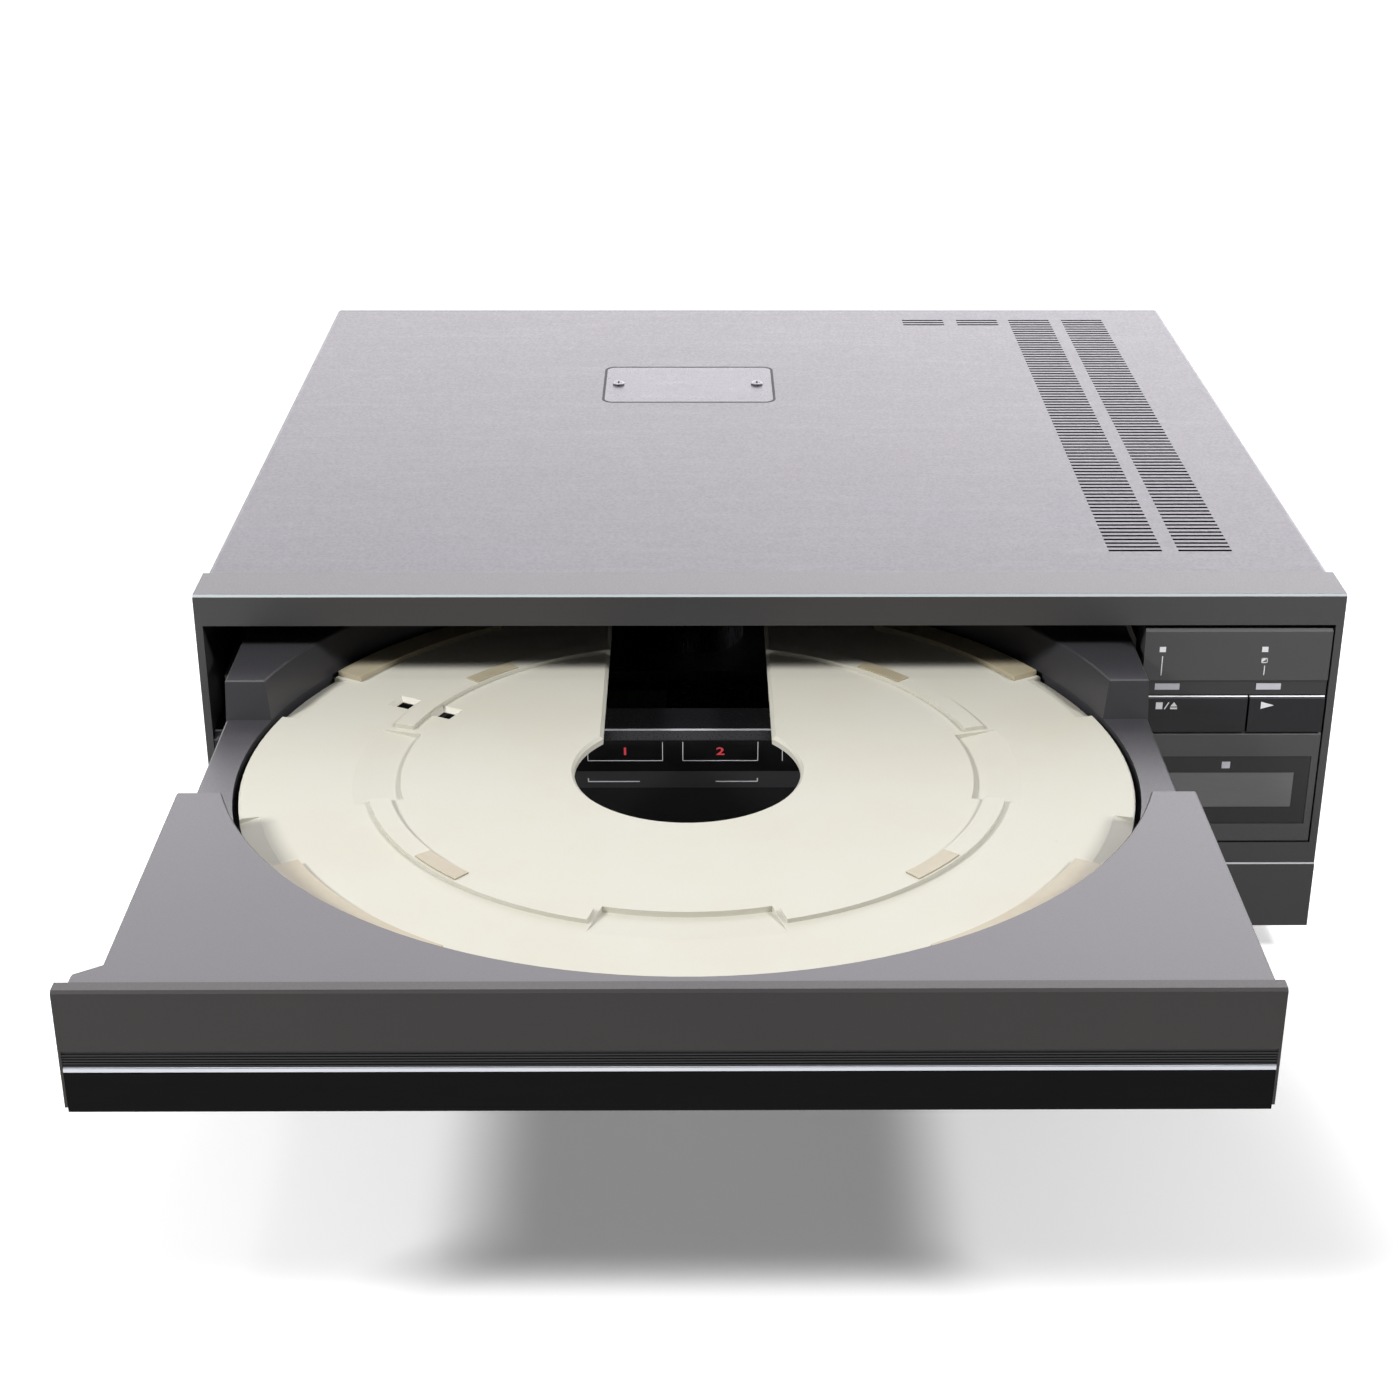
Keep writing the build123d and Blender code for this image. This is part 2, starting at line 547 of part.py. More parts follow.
def make_remote_panel():
    """Panel below the keys; its upstanding plate carries both key stems."""
    body = shell_panel(BLOCK_X0, BLOCK_X1, OPENING_Z0 + 0.8, SILL_Z)
    x0, x1, z0, z1 = REMOTE
    body -= block(x0, x1, FACE - 1, FACE + 1.5, z0, z1)
    body += block(BLOCK_X0 + 20, BLOCK_X1 - 20, FACE + 5, FACE + BLOCK_D, OPENING_Z0, OPENING_Z0 + 1)
    guide = block(BLOCK_X0 + WALL + 1, BLOCK_X1 - WALL - 1, FACE + 11, FACE + 14, SILL_Z - 1, HEADER_Z0)
    for x in (STOP_STEM, PLAY_STEM):
        guide -= block(x - 3 - FIT, x + 3 + FIT, FACE + 8, FACE + 18, KEY_MID - 3 - FIT, KEY_MID + 3 + FIT)
    return body + guide


def make_remote_window():
    x0, x1, z0, z1 = REMOTE
    body = block(x0 + 0.05, x1 - 0.05, FACE + 0.3, FACE + 1.5, z0 + 0.05, z1 - 0.05)
    x0, x1, z0, z1 = REMOTE_IN
    body -= block(x0, x1, FACE - 1, FACE + 0.9, z0, z1)
    x0, x1, z0, z1 = STANDBY
    return body - block(x0, x1, FACE - 1, FACE + 0.9, z0, z1)


def make_remote_lens():
    x0, x1, z0, z1 = REMOTE_IN
    return block(x0 + 0.05, x1 - 0.05, FACE + 0.4, FACE + 0.9, z0 + 0.05, z1 - 0.05)


def make_remote_indicator():
    x0, x1, z0, z1 = STANDBY
    return block(x0 + 0.05, x1 - 0.05, FACE + 0.25, FACE + 0.9, z0 + 0.05, z1 - 0.05)


def key(x0, x1, stem_x):
    cap = block(x0, x1, FACE - 0.4, FACE + 6, KEY_Z0, KEY_Z1)
    cap = chamfer(cap.edges().filter_by(Axis.X).group_by(Axis.Y)[0].sort_by(Axis.Z)[-1], 0.9)
    return cap + block(stem_x - 3, stem_x + 3, FACE + 6, FACE + 18, KEY_MID - 3, KEY_MID + 3)


STOP_STEM, PLAY_STEM = BLOCK_X0 + 20.2, KEY_SPLIT_X + 14.0


def make_stop_eject_key():
    return key(BLOCK_X0 + 0.4, KEY_SPLIT_X - KEY_GAP, STOP_STEM)


def make_play_key():
    return key(KEY_SPLIT_X + KEY_GAP, BLOCK_X1 - 0.2, PLAY_STEM)


def make_key_board():
    """Board with a switch behind each key stem."""
    y = FACE + 25
    x0, x1 = BLOCK_X0 + 10, BLOCK_X1 - 1
    body = block(x0, x1, y, y + 1.6, OPENING_Z0 + 1, HEADER_Z1 - 0.5)
    for x in (STOP_STEM, PLAY_STEM):
        body += block(x - 3, x + 3, y - 4, y, KEY_MID - 3, KEY_MID + 3)
    for z in (OPENING_Z0 + 1.0, HEADER_Z1 - WALL + 0.2):
        body += [block(x, x + 5, FACE + BLOCK_D, y, z, z + 2.5) for x in (x0 + 1, x1 - 7)]
    return body


# ---- tray ---------------------------------------------------------------------------------
RUNNER_W = 2.2
RUNNER_H = 4.0
RUNNER_Z = TRAY_BOTTOM + 8.0   # at the tray's rear end
RUNNER_FRONT = -60.0
TRAY_X0 = DISC_X - TRAY_HALF_W
TRAY_X1 = DISC_X + TRAY_HALF_W
TRAY_REAR_Y = DISC_Y + TRAY_REAR
PANEL_BACK = FACE - TRAY_OUT + PANEL_T
RACK_X0 = TRAY_X0 + 2.2
RACK_W = 6.0
DRIVE_Y = FACE + 68.0
PITCH_Z = TRAY_BOTTOM + 9.6    # rack pitch line over the drive gear
RACK_BACK = 3.6          # pitch line to the rack's back
RACK_BEFORE = TRAY_OUT + 12.0
RACK_AFTER = TRAY_REAR_Y - DRIVE_Y - 2.0


def well_cutter():
    """Round well with a flared upper part."""
    floor = TRAY_BOTTOM + TRAY_FLOOR
    profile = [(0, floor), (WELL_R, floor), (WELL_R, RAIL_TOP), (WELL_TOP_R, TRAY_TOP - EDGE),
               (WELL_TOP_R + EDGE, TRAY_TOP), (WELL_TOP_R + EDGE, TRAY_TOP + 5), (0, TRAY_TOP + 5)]
    return turned(profile, 0, 360, DISC_X, DISC_Y)


def make_tray_frame():
    x0, x1 = TRAY_X0, TRAY_X1
    ear_y = PANEL_BACK + 3.9
    ear_x = x0 - EAR_OUT
    outline = Polyline((x0, TRAY_REAR_Y), (x0, ear_y + 5.2), (ear_x, ear_y), (ear_x, PANEL_BACK),
                       (x1, PANEL_BACK), (x1, TRAY_REAR_Y), close=True)
    body = Pos(0, 0, TRAY_BOTTOM) * extrude(make_face(outline), amount=TRAY_TOP - TRAY_BOTTOM)
    body = chamfer(body.edges().group_by(Axis.Z)[-1].filter_by(Axis.Y), EDGE)
    body -= well_cutter()
    # open stretch above the side rails, with the shoulders' leaning front faces
    low, top = DISC_Y + SHOULDER_FRONT_LOW, DISC_Y + SHOULDER_FRONT_TOP
    side = Polyline((DISC_Y + APRON_BACK, RAIL_TOP), (low, RAIL_TOP), (top, TRAY_TOP - EDGE),
                    (top + EDGE, TRAY_TOP), (top + EDGE, TRAY_TOP + 5), (DISC_Y + APRON_BACK, TRAY_TOP + 5),
                    close=True)
    body -= Pos(x0 - 20, 0, 0) * extrude(make_face(Plane.YZ * side), amount=x1 - x0 + 40, dir=(1, 0, 0))
    # small flats along the outer edges of the side rails
    for edge in (x0, x1):
        flat = Rot(0, 45, 0) * Box(1.0, low - DISC_Y - APRON_BACK, 1.0)
        body -= Pos(edge, DISC_Y + (APRON_BACK + low - DISC_Y) / 2, RAIL_TOP) * flat
    # slot for the turntable and pickup, and the centre hole
    body -= block(DISC_X - TRAY_SLOT_HALF_W, DISC_X + TRAY_SLOT_HALF_W, DISC_Y, TRAY_REAR_Y + 5,
                  TRAY_BOTTOM - 5, TRAY_TOP + 5)
    body -= post(DISC_X, DISC_Y, TRAY_BOTTOM - 5, TRAY_TOP, TRAY_HOLE_R)
    # hollow underside of the apron and shoulders
    for sx in (-1, 1):
        for y0, y1 in ((PANEL_BACK + WALL, DISC_Y + APRON_BACK - WALL), (top + WALL, TRAY_REAR_Y - WALL)):
            a, b = sorted((DISC_X + sx * (TRAY_HALF_W - WALL - (8.5 if sx < 0 else 0)), DISC_X + sx * 60))
            hollow = block(a, b, y0, y1, TRAY_BOTTOM - 5, TRAY_TOP - WALL)
            hollow -= post(DISC_X, DISC_Y, TRAY_BOTTOM - 6, TRAY_TOP, WELL_TOP_R + WALL)
            body -= hollow
    # runners along the tray's path
    for edge, out in ((x0, -RUNNER_W), (x1, RUNNER_W)):
        a, b = sorted((edge + out, edge - 0.5 * out))
        body += path_bar(a, b, DISC_Y + RUNNER_FRONT, TRAY_REAR_Y, RUNNER_Z - RUNNER_H / 2,
                         RUNNER_Z + RUNNER_H / 2, TRAY_REAR_Y)
    # groove that holds the rack
    body -= path_bar(RACK_X0 - 0.2, RACK_X0 + RACK_W + 0.4, DRIVE_Y - RACK_BEFORE - 1, TRAY_REAR_Y + 1,
                     TRAY_BOTTOM - 20, PITCH_Z + RACK_BACK / math.cos(math.radians(TILT)) + 0.004, DRIVE_Y)
    # upright channels for the disc holder's lugs
    for angle in LUG_ANGLES:
        half = LUG_W / 2 + FIT
        channel = block(LUG_R0 - GAP, LUG_R + 1, -half, half, TRAY_BOTTOM - 1, HOLDER_Z + FIT)
        body -= Pos(DISC_X, DISC_Y, 0) * Rot(0, 0, angle) * channel
    return body


LUG_ANGLES = (-135.0, -45.0, 45.0, 135.0)


def make_tray_panel():
    y0, y1 = FACE - TRAY_OUT, PANEL_BACK
    body = block(PANEL_X0, PANEL_X1, y0, y1, PANEL_LOW, TRAY_TOP)
    body = chamfer(body.edges().filter_by(Axis.X).group_by(Axis.Y)[0].sort_by(Axis.Z)[-1], 0.8)
    body -= block(PANEL_X0 + CHEEK, PANEL_X1 - CHEEK, y0 - 1, y0 + STRIP_T, PANEL_LOW - 1, BAND_TOP)
    return body - block(PANEL_X0 + CHEEK, PANEL_X1 - CHEEK, y0 - 1, y0 + 0.5, BAND_TOP - 1, BAND_TOP + 1.0)


def strip_block(z0, z1, inset=0.0):
    y0 = FACE - TRAY_OUT
    return block(PANEL_X0 + CHEEK + 0.05, PANEL_X1 - CHEEK - 0.05, y0 + inset, y0 + STRIP_T, z0, z1)


def make_ribbed_band():
    """Black band with fine lengthways ribs."""
    body = strip_block(TRIM_TOP, BAND_TOP, 0.5)
    count = 5
    pitch = (BAND_TOP - TRIM_TOP) / count
    y0 = FACE - TRAY_OUT + 0.5
    behind = block(-300, 300, y0 + 1, y0 + 9, 0, 300)
    for i in range(count):
        z = TRIM_TOP + (i + 0.5) * pitch
        body += strip_block(z - pitch * 0.25, z + pitch * 0.25, 0.1) - behind
    return body


def make_trim_strip():
    body = strip_block(TRIM_LOW, TRIM_TOP)
    return fillet(body.edges().filter_by(Axis.X).group_by(Axis.Y)[0], 0.5)


def make_gloss_strip():
    body = strip_block(GLOSS_LOW, TRIM_LOW)
    return fillet(body.edges().filter_by(Axis.X).group_by(Axis.Y)[0].sort_by(Axis.Z)[0], 0.8)


def make_tray_rack():
    points = rack_outline(RACK_BEFORE, RACK_AFTER, TOOTH_M, RACK_BACK)
    bar = Pos(RACK_X0, 0, 0) * extrude(make_face(Plane.YZ * Polyline(*points, close=True)), amount=RACK_W,
                                       dir=(1, 0, 0))
    return Pos(0, DRIVE_Y, PITCH_Z) * Rot(TILT, 0, 0) * bar


# ---- disc holder --------------------------------------------------------------------------
RING_GAPS = ((-105.5, -74.5), (-13.5, 15.3), (164.0, 193.5))   # front, right and left gaps in the ring
SLOT_ANGLE = math.degrees(math.acos(HOLDER_SLOT_HALF_W / RING_R0))


def ring_section(r0, r1, z0, z1, start, end):
    return turned([(r0, z0), (r1, z0), (r1, z1), (r0, z1)], start, end - start, DISC_X, DISC_Y)


def make_disc_holder():
    top = HOLDER_TOP
    body = post(DISC_X, DISC_Y, HOLDER_Z, top, HOLDER_R)
    body = chamfer(body.edges().group_by(Axis.Z)[-1], 0.6)
    r = HOLDER_HOLE_R
    hole = [(r, HOLDER_Z - 1), (r, top - 1.0), (r + 1.2, top + 0.2), (0, top + 0.2), (0, HOLDER_Z - 1)]
    body -= turned(hole, 0, 360, DISC_X, DISC_Y)
    half = HOLDER_SLOT_HALF_W
    slot = Polyline((-half, HOLDER_Z - 1), (half, HOLDER_Z - 1), (half, top - 1.0), (half + 1.6, top + 0.3),
                    (-half - 1.6, top + 0.3), (-half, top - 1.0), close=True)
    slot = extrude(make_face(Plane.XZ * slot), amount=HOLDER_R + 2 - 20)
    body -= Pos(DISC_X, DISC_Y + HOLDER_R + 2, 0) * slot
    for a, b in RING_GAPS:
        ramp = [(RAMP_R0, top - RAMP_DEPTH), (RAMP_R1, top + 0.02), (RAMP_R1, top + 1), (RAMP_R0, top + 1)]
        body -= turned(ramp, a, b - a, DISC_X, DISC_Y)
    for a, b in ((-166.0, -151.5), (-28.5, -14.0), (150.0, 164.0), (16.0, 30.0)):
        body -= turned([(SCOOP_R0, top), (HOLDER_R + 1, top - SCOOP_DEPTH * 1.15), (HOLDER_R + 1, top + 1),
                        (SCOOP_R0, top + 1)], a, b - a, DISC_X, DISC_Y)
    ribs = ((-166.5, -106.2), (-73.8, -13.5), (15.3 + 0.8, SLOT_ANGLE), (180 - SLOT_ANGLE, 162.5))
    for a, b in ribs:
        body += ring_section(RING_R0, RING_R1, top - 1, top + RING_H, a, b)
    body -= block(DISC_X - half, DISC_X + half, DISC_Y + 50, DISC_Y + 200, HOLDER_Z - 1, top + 9)
    for px, py in ((-102.8, 53.6), (-87.1, 45.1)):
        window = Box(5.0, 5.0, 20) + Pos(0, 0, -1.4) * extrude(Rectangle(5.0, 5.0), amount=1.8, taper=-52)
        body -= Pos(DISC_X + px, DISC_Y + py, top) * Rot(0, 0, -27.5) * window
    for angle in LUG_ANGLES:
        lug = block(LUG_R0, LUG_R, -LUG_W / 2, LUG_W / 2, HOLDER_Z - LUG_H, HOLDER_Z)
        body += Pos(DISC_X, DISC_Y, 0) * Rot(0, 0, angle) * lug
    return body


def make_outer_pads():
    spans = ((-151.2, -121.0), (-59.0, -28.8), (30.6, 59.0), (121.0, 149.4))
    return group(ring_section(PAD_R0, HOLDER_R - 0.7, HOLDER_TOP, PAD_TOP, a, b) for a, b in spans)


def make_inner_pads():
    spans = ((-143.0, -132.0), (-48.0, -37.0), (41.0, 51.8), (128.2, 139.0))
    z = HOLDER_TOP + RING_H
    return group(ring_section(RING_R0 + 0.5, RING_R1 - 0.8, z, PAD_TOP, a, b) for a, b in spans)


# ---- tray drive ---------------------------------------------------------------------------
def make_tray_guide(left):
    """C-shaped guide for one runner, on three legs that stand in the base pan."""
    edge = TRAY_X0 if left else TRAY_X1
    out = -1 if left else 1
    inner, groove, outer = edge + out * GAP, edge + out * (RUNNER_W + 0.4), edge + out * 10.6
    y0, y1 = BEHIND_BEZEL + 1, REAR - 44
    z = RUNNER_Z
    a, b = sorted((inner, outer))
    body = path_bar(a, b, y0, y1, z - 7, z + 7, TRAY_REAR_Y)
    a, b = sorted((inner - out, groove))
    body -= path_bar(a, b, y0 - 1, y1 + 1, z - RUNNER_H / 2 - FIT, z + RUNNER_H / 2 + FIT, TRAY_REAR_Y)
    a, b = sorted((outer - out * 5, outer))
    for y in (y0 + 2, (y0 + y1) / 2 - 6, y1 - 14):
        body += block(a, b, y, y + 12, PAN_TOP, z - 6 + SLOPE * (y - TRAY_REAR_Y))
    return body


def make_tray_guide_left():
    return make_tray_guide(True)


def make_tray_guide_right():
    return make_tray_guide(False)


DRIVE_R = DRIVE_TEETH * TOOTH_M / 2
REDUCTION_R = REDUCTION_TEETH * TOOTH_M / 2
NORMAL = (-math.sin(math.radians(TILT)), math.cos(math.radians(TILT)))   # away from the path, Y and Z
DRIVE_C = (DRIVE_Y - NORMAL[0] * DRIVE_R, PITCH_Z - NORMAL[1] * DRIVE_R)
MESH_R = DRIVE_R + REDUCTION_R
REDUCTION_C = (DRIVE_C[0] - NORMAL[0] * MESH_R, DRIVE_C[1] - NORMAL[1] * MESH_R)
GEAR_X0 = RACK_X0 + 0.2
GEAR_SHAFT_R = 1.8
PULLEY_X0 = GEAR_X0 + GEAR_W + 0.3
PULLEY_W = 6.0
PULLEY_R = 16.0
MOTOR_PULLEY_R = 5.0
MOTOR_C = (REDUCTION_C[0] + 56.0, REDUCTION_C[1] - 8.0)
BRACKET_X = PULLEY_X0 + PULLEY_W + 1.0
BRACKET_T = 1.5
BELT_T = 1.4


def gear_on_x(teeth, centre, width, bore, x0):
    """Gear on an axle along X with one gap centred on the tray path's normal."""
    turn = Rot(TILT, 0, 0) * Rot(90, 0, 0) * Rot(0, 90, 0)
    return Pos(x0, centre[0], centre[1]) * turn * gear_solid(teeth, TOOTH_M, width, bore)


def make_drive_gear():
    return gear_on_x(DRIVE_TEETH, DRIVE_C, GEAR_W, GEAR_SHAFT_R + RUN, GEAR_X0)


def pulley(radius, width, bore):
    """Grooved belt pulley along Z from 0."""
    r, w = radius, width
    rim = r + 1.5
    profile = [(bore, 0), (rim, 0), (rim, w * 0.2), (r, w * 0.32), (r, w * 0.68), (rim, w * 0.8)]
    return turned(profile + [(rim, w), (bore, w)], 0, 360)


def make_reduction_gear():
    """Gear and belt pulley moulded in one."""
    half_tooth = 180.0 / REDUCTION_TEETH
    turn = Rot(TILT + half_tooth, 0, 0) * Rot(90, 0, 0) * Rot(0, 90, 0)
    body = turn * gear_solid(REDUCTION_TEETH, TOOTH_M, GEAR_W, GEAR_SHAFT_R + RUN)
    wheel = Pos(0, 0, -0.3) * Cylinder(5, 0.8) - Cylinder(GEAR_SHAFT_R + RUN, 20) + pulley(
        PULLEY_R, PULLEY_W, GEAR_SHAFT_R + RUN)
    return Pos(GEAR_X0, *REDUCTION_C) * body + Pos(PULLEY_X0, *REDUCTION_C) * Rot(0, 90, 0) * wheel


def make_motor_pulley():
    body = pulley(MOTOR_PULLEY_R, PULLEY_W, 0.9) + Pos(0, 0, 8) * Cylinder(1.0, 16)
    return Pos(PULLEY_X0, *MOTOR_C) * Rot(0, 90, 0) * body


def belt_face(radius_a, radius_b):
    """Loop round both pulleys: two circles and the region between their outer tangents."""
    (ya, za), (yb, zb) = REDUCTION_C, MOTOR_C
    span = math.hypot(yb - ya, zb - za)
    heading = math.atan2(zb - za, yb - ya)
    lean = math.acos((radius_a - radius_b) / span)
    points = []
    for sign in (1, -1):
        ang = heading + sign * lean
        points.append([(ya + radius_a * math.cos(ang), za + radius_a * math.sin(ang)),
                       (yb + radius_b * math.cos(ang), zb + radius_b * math.sin(ang))])
    (a1, b1), (a2, b2) = points
    far_a = (ya - radius_a * math.cos(heading), za - radius_a * math.sin(heading))
    far_b = (yb + radius_b * math.cos(heading), zb + radius_b * math.sin(heading))
    loop = Line(a1, b1) + ThreePointArc(b1, far_b, b2) + Line(b2, a2) + ThreePointArc(a2, far_a, a1)
    return make_face(Plane.YZ * loop)


def make_drive_belt():
    x0 = PULLEY_X0 + PULLEY_W * 0.36
    width = PULLEY_W * 0.28
    inner_a, inner_b = PULLEY_R + 0.1, MOTOR_PULLEY_R + 0.1
    outer = extrude(belt_face(inner_a + BELT_T, inner_b + BELT_T), amount=width, dir=(1, 0, 0))
    inner = extrude(belt_face(inner_a, inner_b), amount=width, dir=(1, 0, 0))
    return Pos(x0, 0, 0) * (outer - inner)


def make_loading_bracket():
    """Upright sheet bracket with a folded foot; it carries the gear shafts and the motor."""
    y0, y1 = DRIVE_Y - 22, MOTOR_C[0] + 18
    body = block(BRACKET_X, BRACKET_X + BRACKET_T, y0, y1, PAN_TOP, TRAY_BOTTOM - 0.9)
    body += block(BRACKET_X, BRACKET_X + 14, y0, y1, PAN_TOP, PAN_TOP + BRACKET_T)
    body -= block(BRACKET_X - 1, BRACKET_X + 3, DRIVE_Y + 26, y1 + 1, MOTOR_C[1] + 18, 200)
    body -= rod_x(BRACKET_X - 1, BRACKET_X + 3, *MOTOR_C, 2.0)
    for centre in (DRIVE_C, REDUCTION_C):
        body -= rod_x(BRACKET_X - 1, BRACKET_X + 3, *centre, GEAR_SHAFT_R)
    return body


def make_gear_shafts():
    shafts = []
    for centre in (DRIVE_C, REDUCTION_C):
        shafts.append(rod_x(GEAR_X0 - 0.4, BRACKET_X + BRACKET_T, *centre, GEAR_SHAFT_R)
                      + rod_x(GEAR_X0 - 0.9, GEAR_X0 - 0.3, *centre, GEAR_SHAFT_R - 0.1))
    shafts[0] += rod_x(PULLEY_X0 + 0.2, BRACKET_X, *DRIVE_C, GEAR_SHAFT_R + 0.5)
    return group(shafts)


def make_loading_motor():
    x0 = BRACKET_X + BRACKET_T
    body = rod_x(x0, x0 + 26, *MOTOR_C, 13.0) + rod_x(x0 + 26, x0 + 28, *MOTOR_C, 5.0)
    return body - rod_x(x0 - 1, x0 + 24, *MOTOR_C, 1.0 + RUN)


# ---- mechanism ----------------------------------------------------------------------------
BASE_X0, BASE_X1 = DISC_X - 100.0, DISC_X + 100.0
BASE_Y0, BASE_Y1 = SPINDLE_Y - 42.0, SPINDLE_Y + 200.0
BASE_TOP = BASE_Z + BASE_T
CARRIAGE_Y0 = SPINDLE_Y + LENS_NEAR - 14.0
CARRIAGE_Y1 = CARRIAGE_Y0 + 56.0
CARRIAGE_Z0, CARRIAGE_Z1 = BASE_Z + 14.0, BASE_Z + 34.0
FEED_Y = CARRIAGE_Y0 + 46.0
FEED_R = FEED_TEETH * FEED_M / 2
FEED_PITCH_X = DISC_X + SHAFT_DX + 14.0
FEED_Z0 = BASE_Z + 24.0


def damper_places():
    return [(x, y) for x in (BASE_X0 + 12, BASE_X1 - 12) for y in (BASE_Y0 + 12, BASE_Y1 - 12)]


def make_mechanism_base():
    body = block(BASE_X0, BASE_X1, BASE_Y0, BASE_Y1, BASE_Z, BASE_TOP)
    body -= block(DISC_X - 26, DISC_X + 26, CARRIAGE_Y0 + 4, BASE_Y1 - 24, BASE_Z - 1, BASE_TOP + 1)
    for sx in (-1, 1):
        x = DISC_X + sx * SHAFT_DX
        for y in (CARRIAGE_Y0 - 10, CARRIAGE_Y1 + CARRIAGE_TRAVEL + 4):
            body += block(x - 6, x + 6, y, y + 7, BASE_TOP, SHAFT_Z + 6)
            body -= rod_y(x, y - 1, y + 8, SHAFT_Z, SHAFT_R)
    for x, y in damper_places():
        body -= post(x, y, BASE_Z - 1, BASE_TOP + 1, 3.2)
    return body


def make_dampers():
    """Rubber dampers between the posts and the mechanism base."""
    dampers = []
    for x, y in damper_places():
        z = BASE_Z
        profile = [(3.0, z - 12), (7.0, z - 12), (9.0, z - 6), (7.0, z), (3.0, z)]
        dampers.append(turned(profile, 0, 360, x, y))
        washer = post(x, y, BASE_TOP, BASE_TOP + 3.0, 6.5)
        dampers.append(washer - post(x, y, BASE_TOP - 1, BASE_TOP + 4, 3.0))
    return group(dampers)


def make_spindle_motor():
    body = post(DISC_X, SPINDLE_Y, BASE_TOP, PLATTER_Z - 20, MOTOR_R)
    body += post(DISC_X, SPINDLE_Y, PLATTER_Z - 20, PLATTER_Z - 14, 8.0)
    return body - post(DISC_X, SPINDLE_Y, BASE_TOP + 3, PLATTER_Z, SPINDLE_R + RUN)


def make_turntable():
    """Platter with a raised rubber rim seat, hub and shaft."""
    z = PLATTER_Z
    profile = [(0, z - 2), (PLATTER_R - 6, z - 2), (PLATTER_R - 6, z), (PLATTER_R, z), (PLATTER_R, z - 3.5),
               (12, z - 6), (9, z - 13.5), (SPINDLE_R, z - 13.5), (SPINDLE_R, z - 40), (0, z - 40)]
    return turned(profile, 0, 360, DISC_X, SPINDLE_Y)


def make_centring_cone():
    """Spring-seated cone that centres the disc's 35 mm hole."""
    z = PLATTER_Z
    profile = [(0, z - 2), (CONE_R, z - 2), (CONE_R, z + 1.0), (12.0, z + CONE_H), (0, z + CONE_H)]
    body = turned(profile, 0, 360, DISC_X, SPINDLE_Y)
    slots = [Rot(0, 0, 60 * i) * Pos(14.5, 0, z + 3) * Box(7, 1.2, 6) for i in range(3)]
    return body - [Pos(DISC_X, SPINDLE_Y, 0) * s for s in slots]


def make_guide_shafts():
    y0, y1 = CARRIAGE_Y0 - 12, CARRIAGE_Y1 + CARRIAGE_TRAVEL + 13
    return group(rod_y(DISC_X + sx * SHAFT_DX, y0, y1, SHAFT_Z, SHAFT_R) for sx in (-1, 1))


def make_pickup_carriage():
    """Cast carriage on two bushes, with its toothed rack along the right side."""
    y0, y1 = CARRIAGE_Y0, CARRIAGE_Y1
    body = block(DISC_X - 24, DISC_X + 24, y0, y1, CARRIAGE_Z0, CARRIAGE_Z1)
    body -= block(DISC_X - 18, DISC_X + 18, y0 + 30, y1 - 4, CARRIAGE_Z0 + 5, CARRIAGE_Z1 + 1)
    for sx in (-1, 1):
        x = DISC_X + sx * SHAFT_DX
        a, b = sorted((DISC_X + sx * 22, x + sx * 7))
        body += block(a, b, y0 + 4, y1 - 4, SHAFT_Z - 6, SHAFT_Z + 6)
        body -= rod_y(x, y0 - 1, y1 + 1, SHAFT_Z, SHAFT_R + RUN)
    body += block(DISC_X - 14, DISC_X + 14, y0 + 2, y0 + 28, CARRIAGE_Z1, PLATTER_Z - 8)
    points = rack_outline(FEED_Y - y0 + 50, 10.0, FEED_M, 7.5)
    rack = extrude(make_face(Polyline(*points, close=True)), amount=5.0)
    rack = Pos(FEED_PITCH_X, FEED_Y, FEED_Z0) * Rot(0, 0, 90) * rack
    return body + rack


def make_objective_lens():
    x, y, z = DISC_X, SPINDLE_Y + LENS_NEAR, PLATTER_Z - 8
    barrel = [(0, z), (7.5, z), (7.5, z + 3.5), (4.5, z + 3.5), (4.5, z + 5.5), (3.6, z + 5.5), (0, z + 4.9)]
    return turned(barrel, 0, 360, x, y)


def make_feed_gear():
    body = extrude(make_face(Polyline(*gear_outline(FEED_TEETH, FEED_M), close=True)), amount=5.0)
    body = Rot(0, 0, 90) * body + Pos(0, 0, -6) * Cylinder(1.5, 12.5)
    return Pos(FEED_PITCH_X + FEED_R, FEED_Y, FEED_Z0) * body


def make_feed_motor():
    x = FEED_PITCH_X + FEED_R
    body = post(x, FEED_Y, BASE_TOP, FEED_Z0 - 1.0, 12.0)
    body -= post(x, FEED_Y, FEED_Z0 - 13.5, FEED_Z0, 1.5 + RUN)
    return body


# ---- disc clamp ---------------------------------------------------------------------------
PUCK_Z = PLATTER_Z + 2.5
CLAMP_PIVOT = (SPINDLE_Y + 140.0, PUCK_Z + 16.7)
CLAMP_LIFT = 5.0         # degrees from clamped to rest
ARM_HALF_W = 12.0


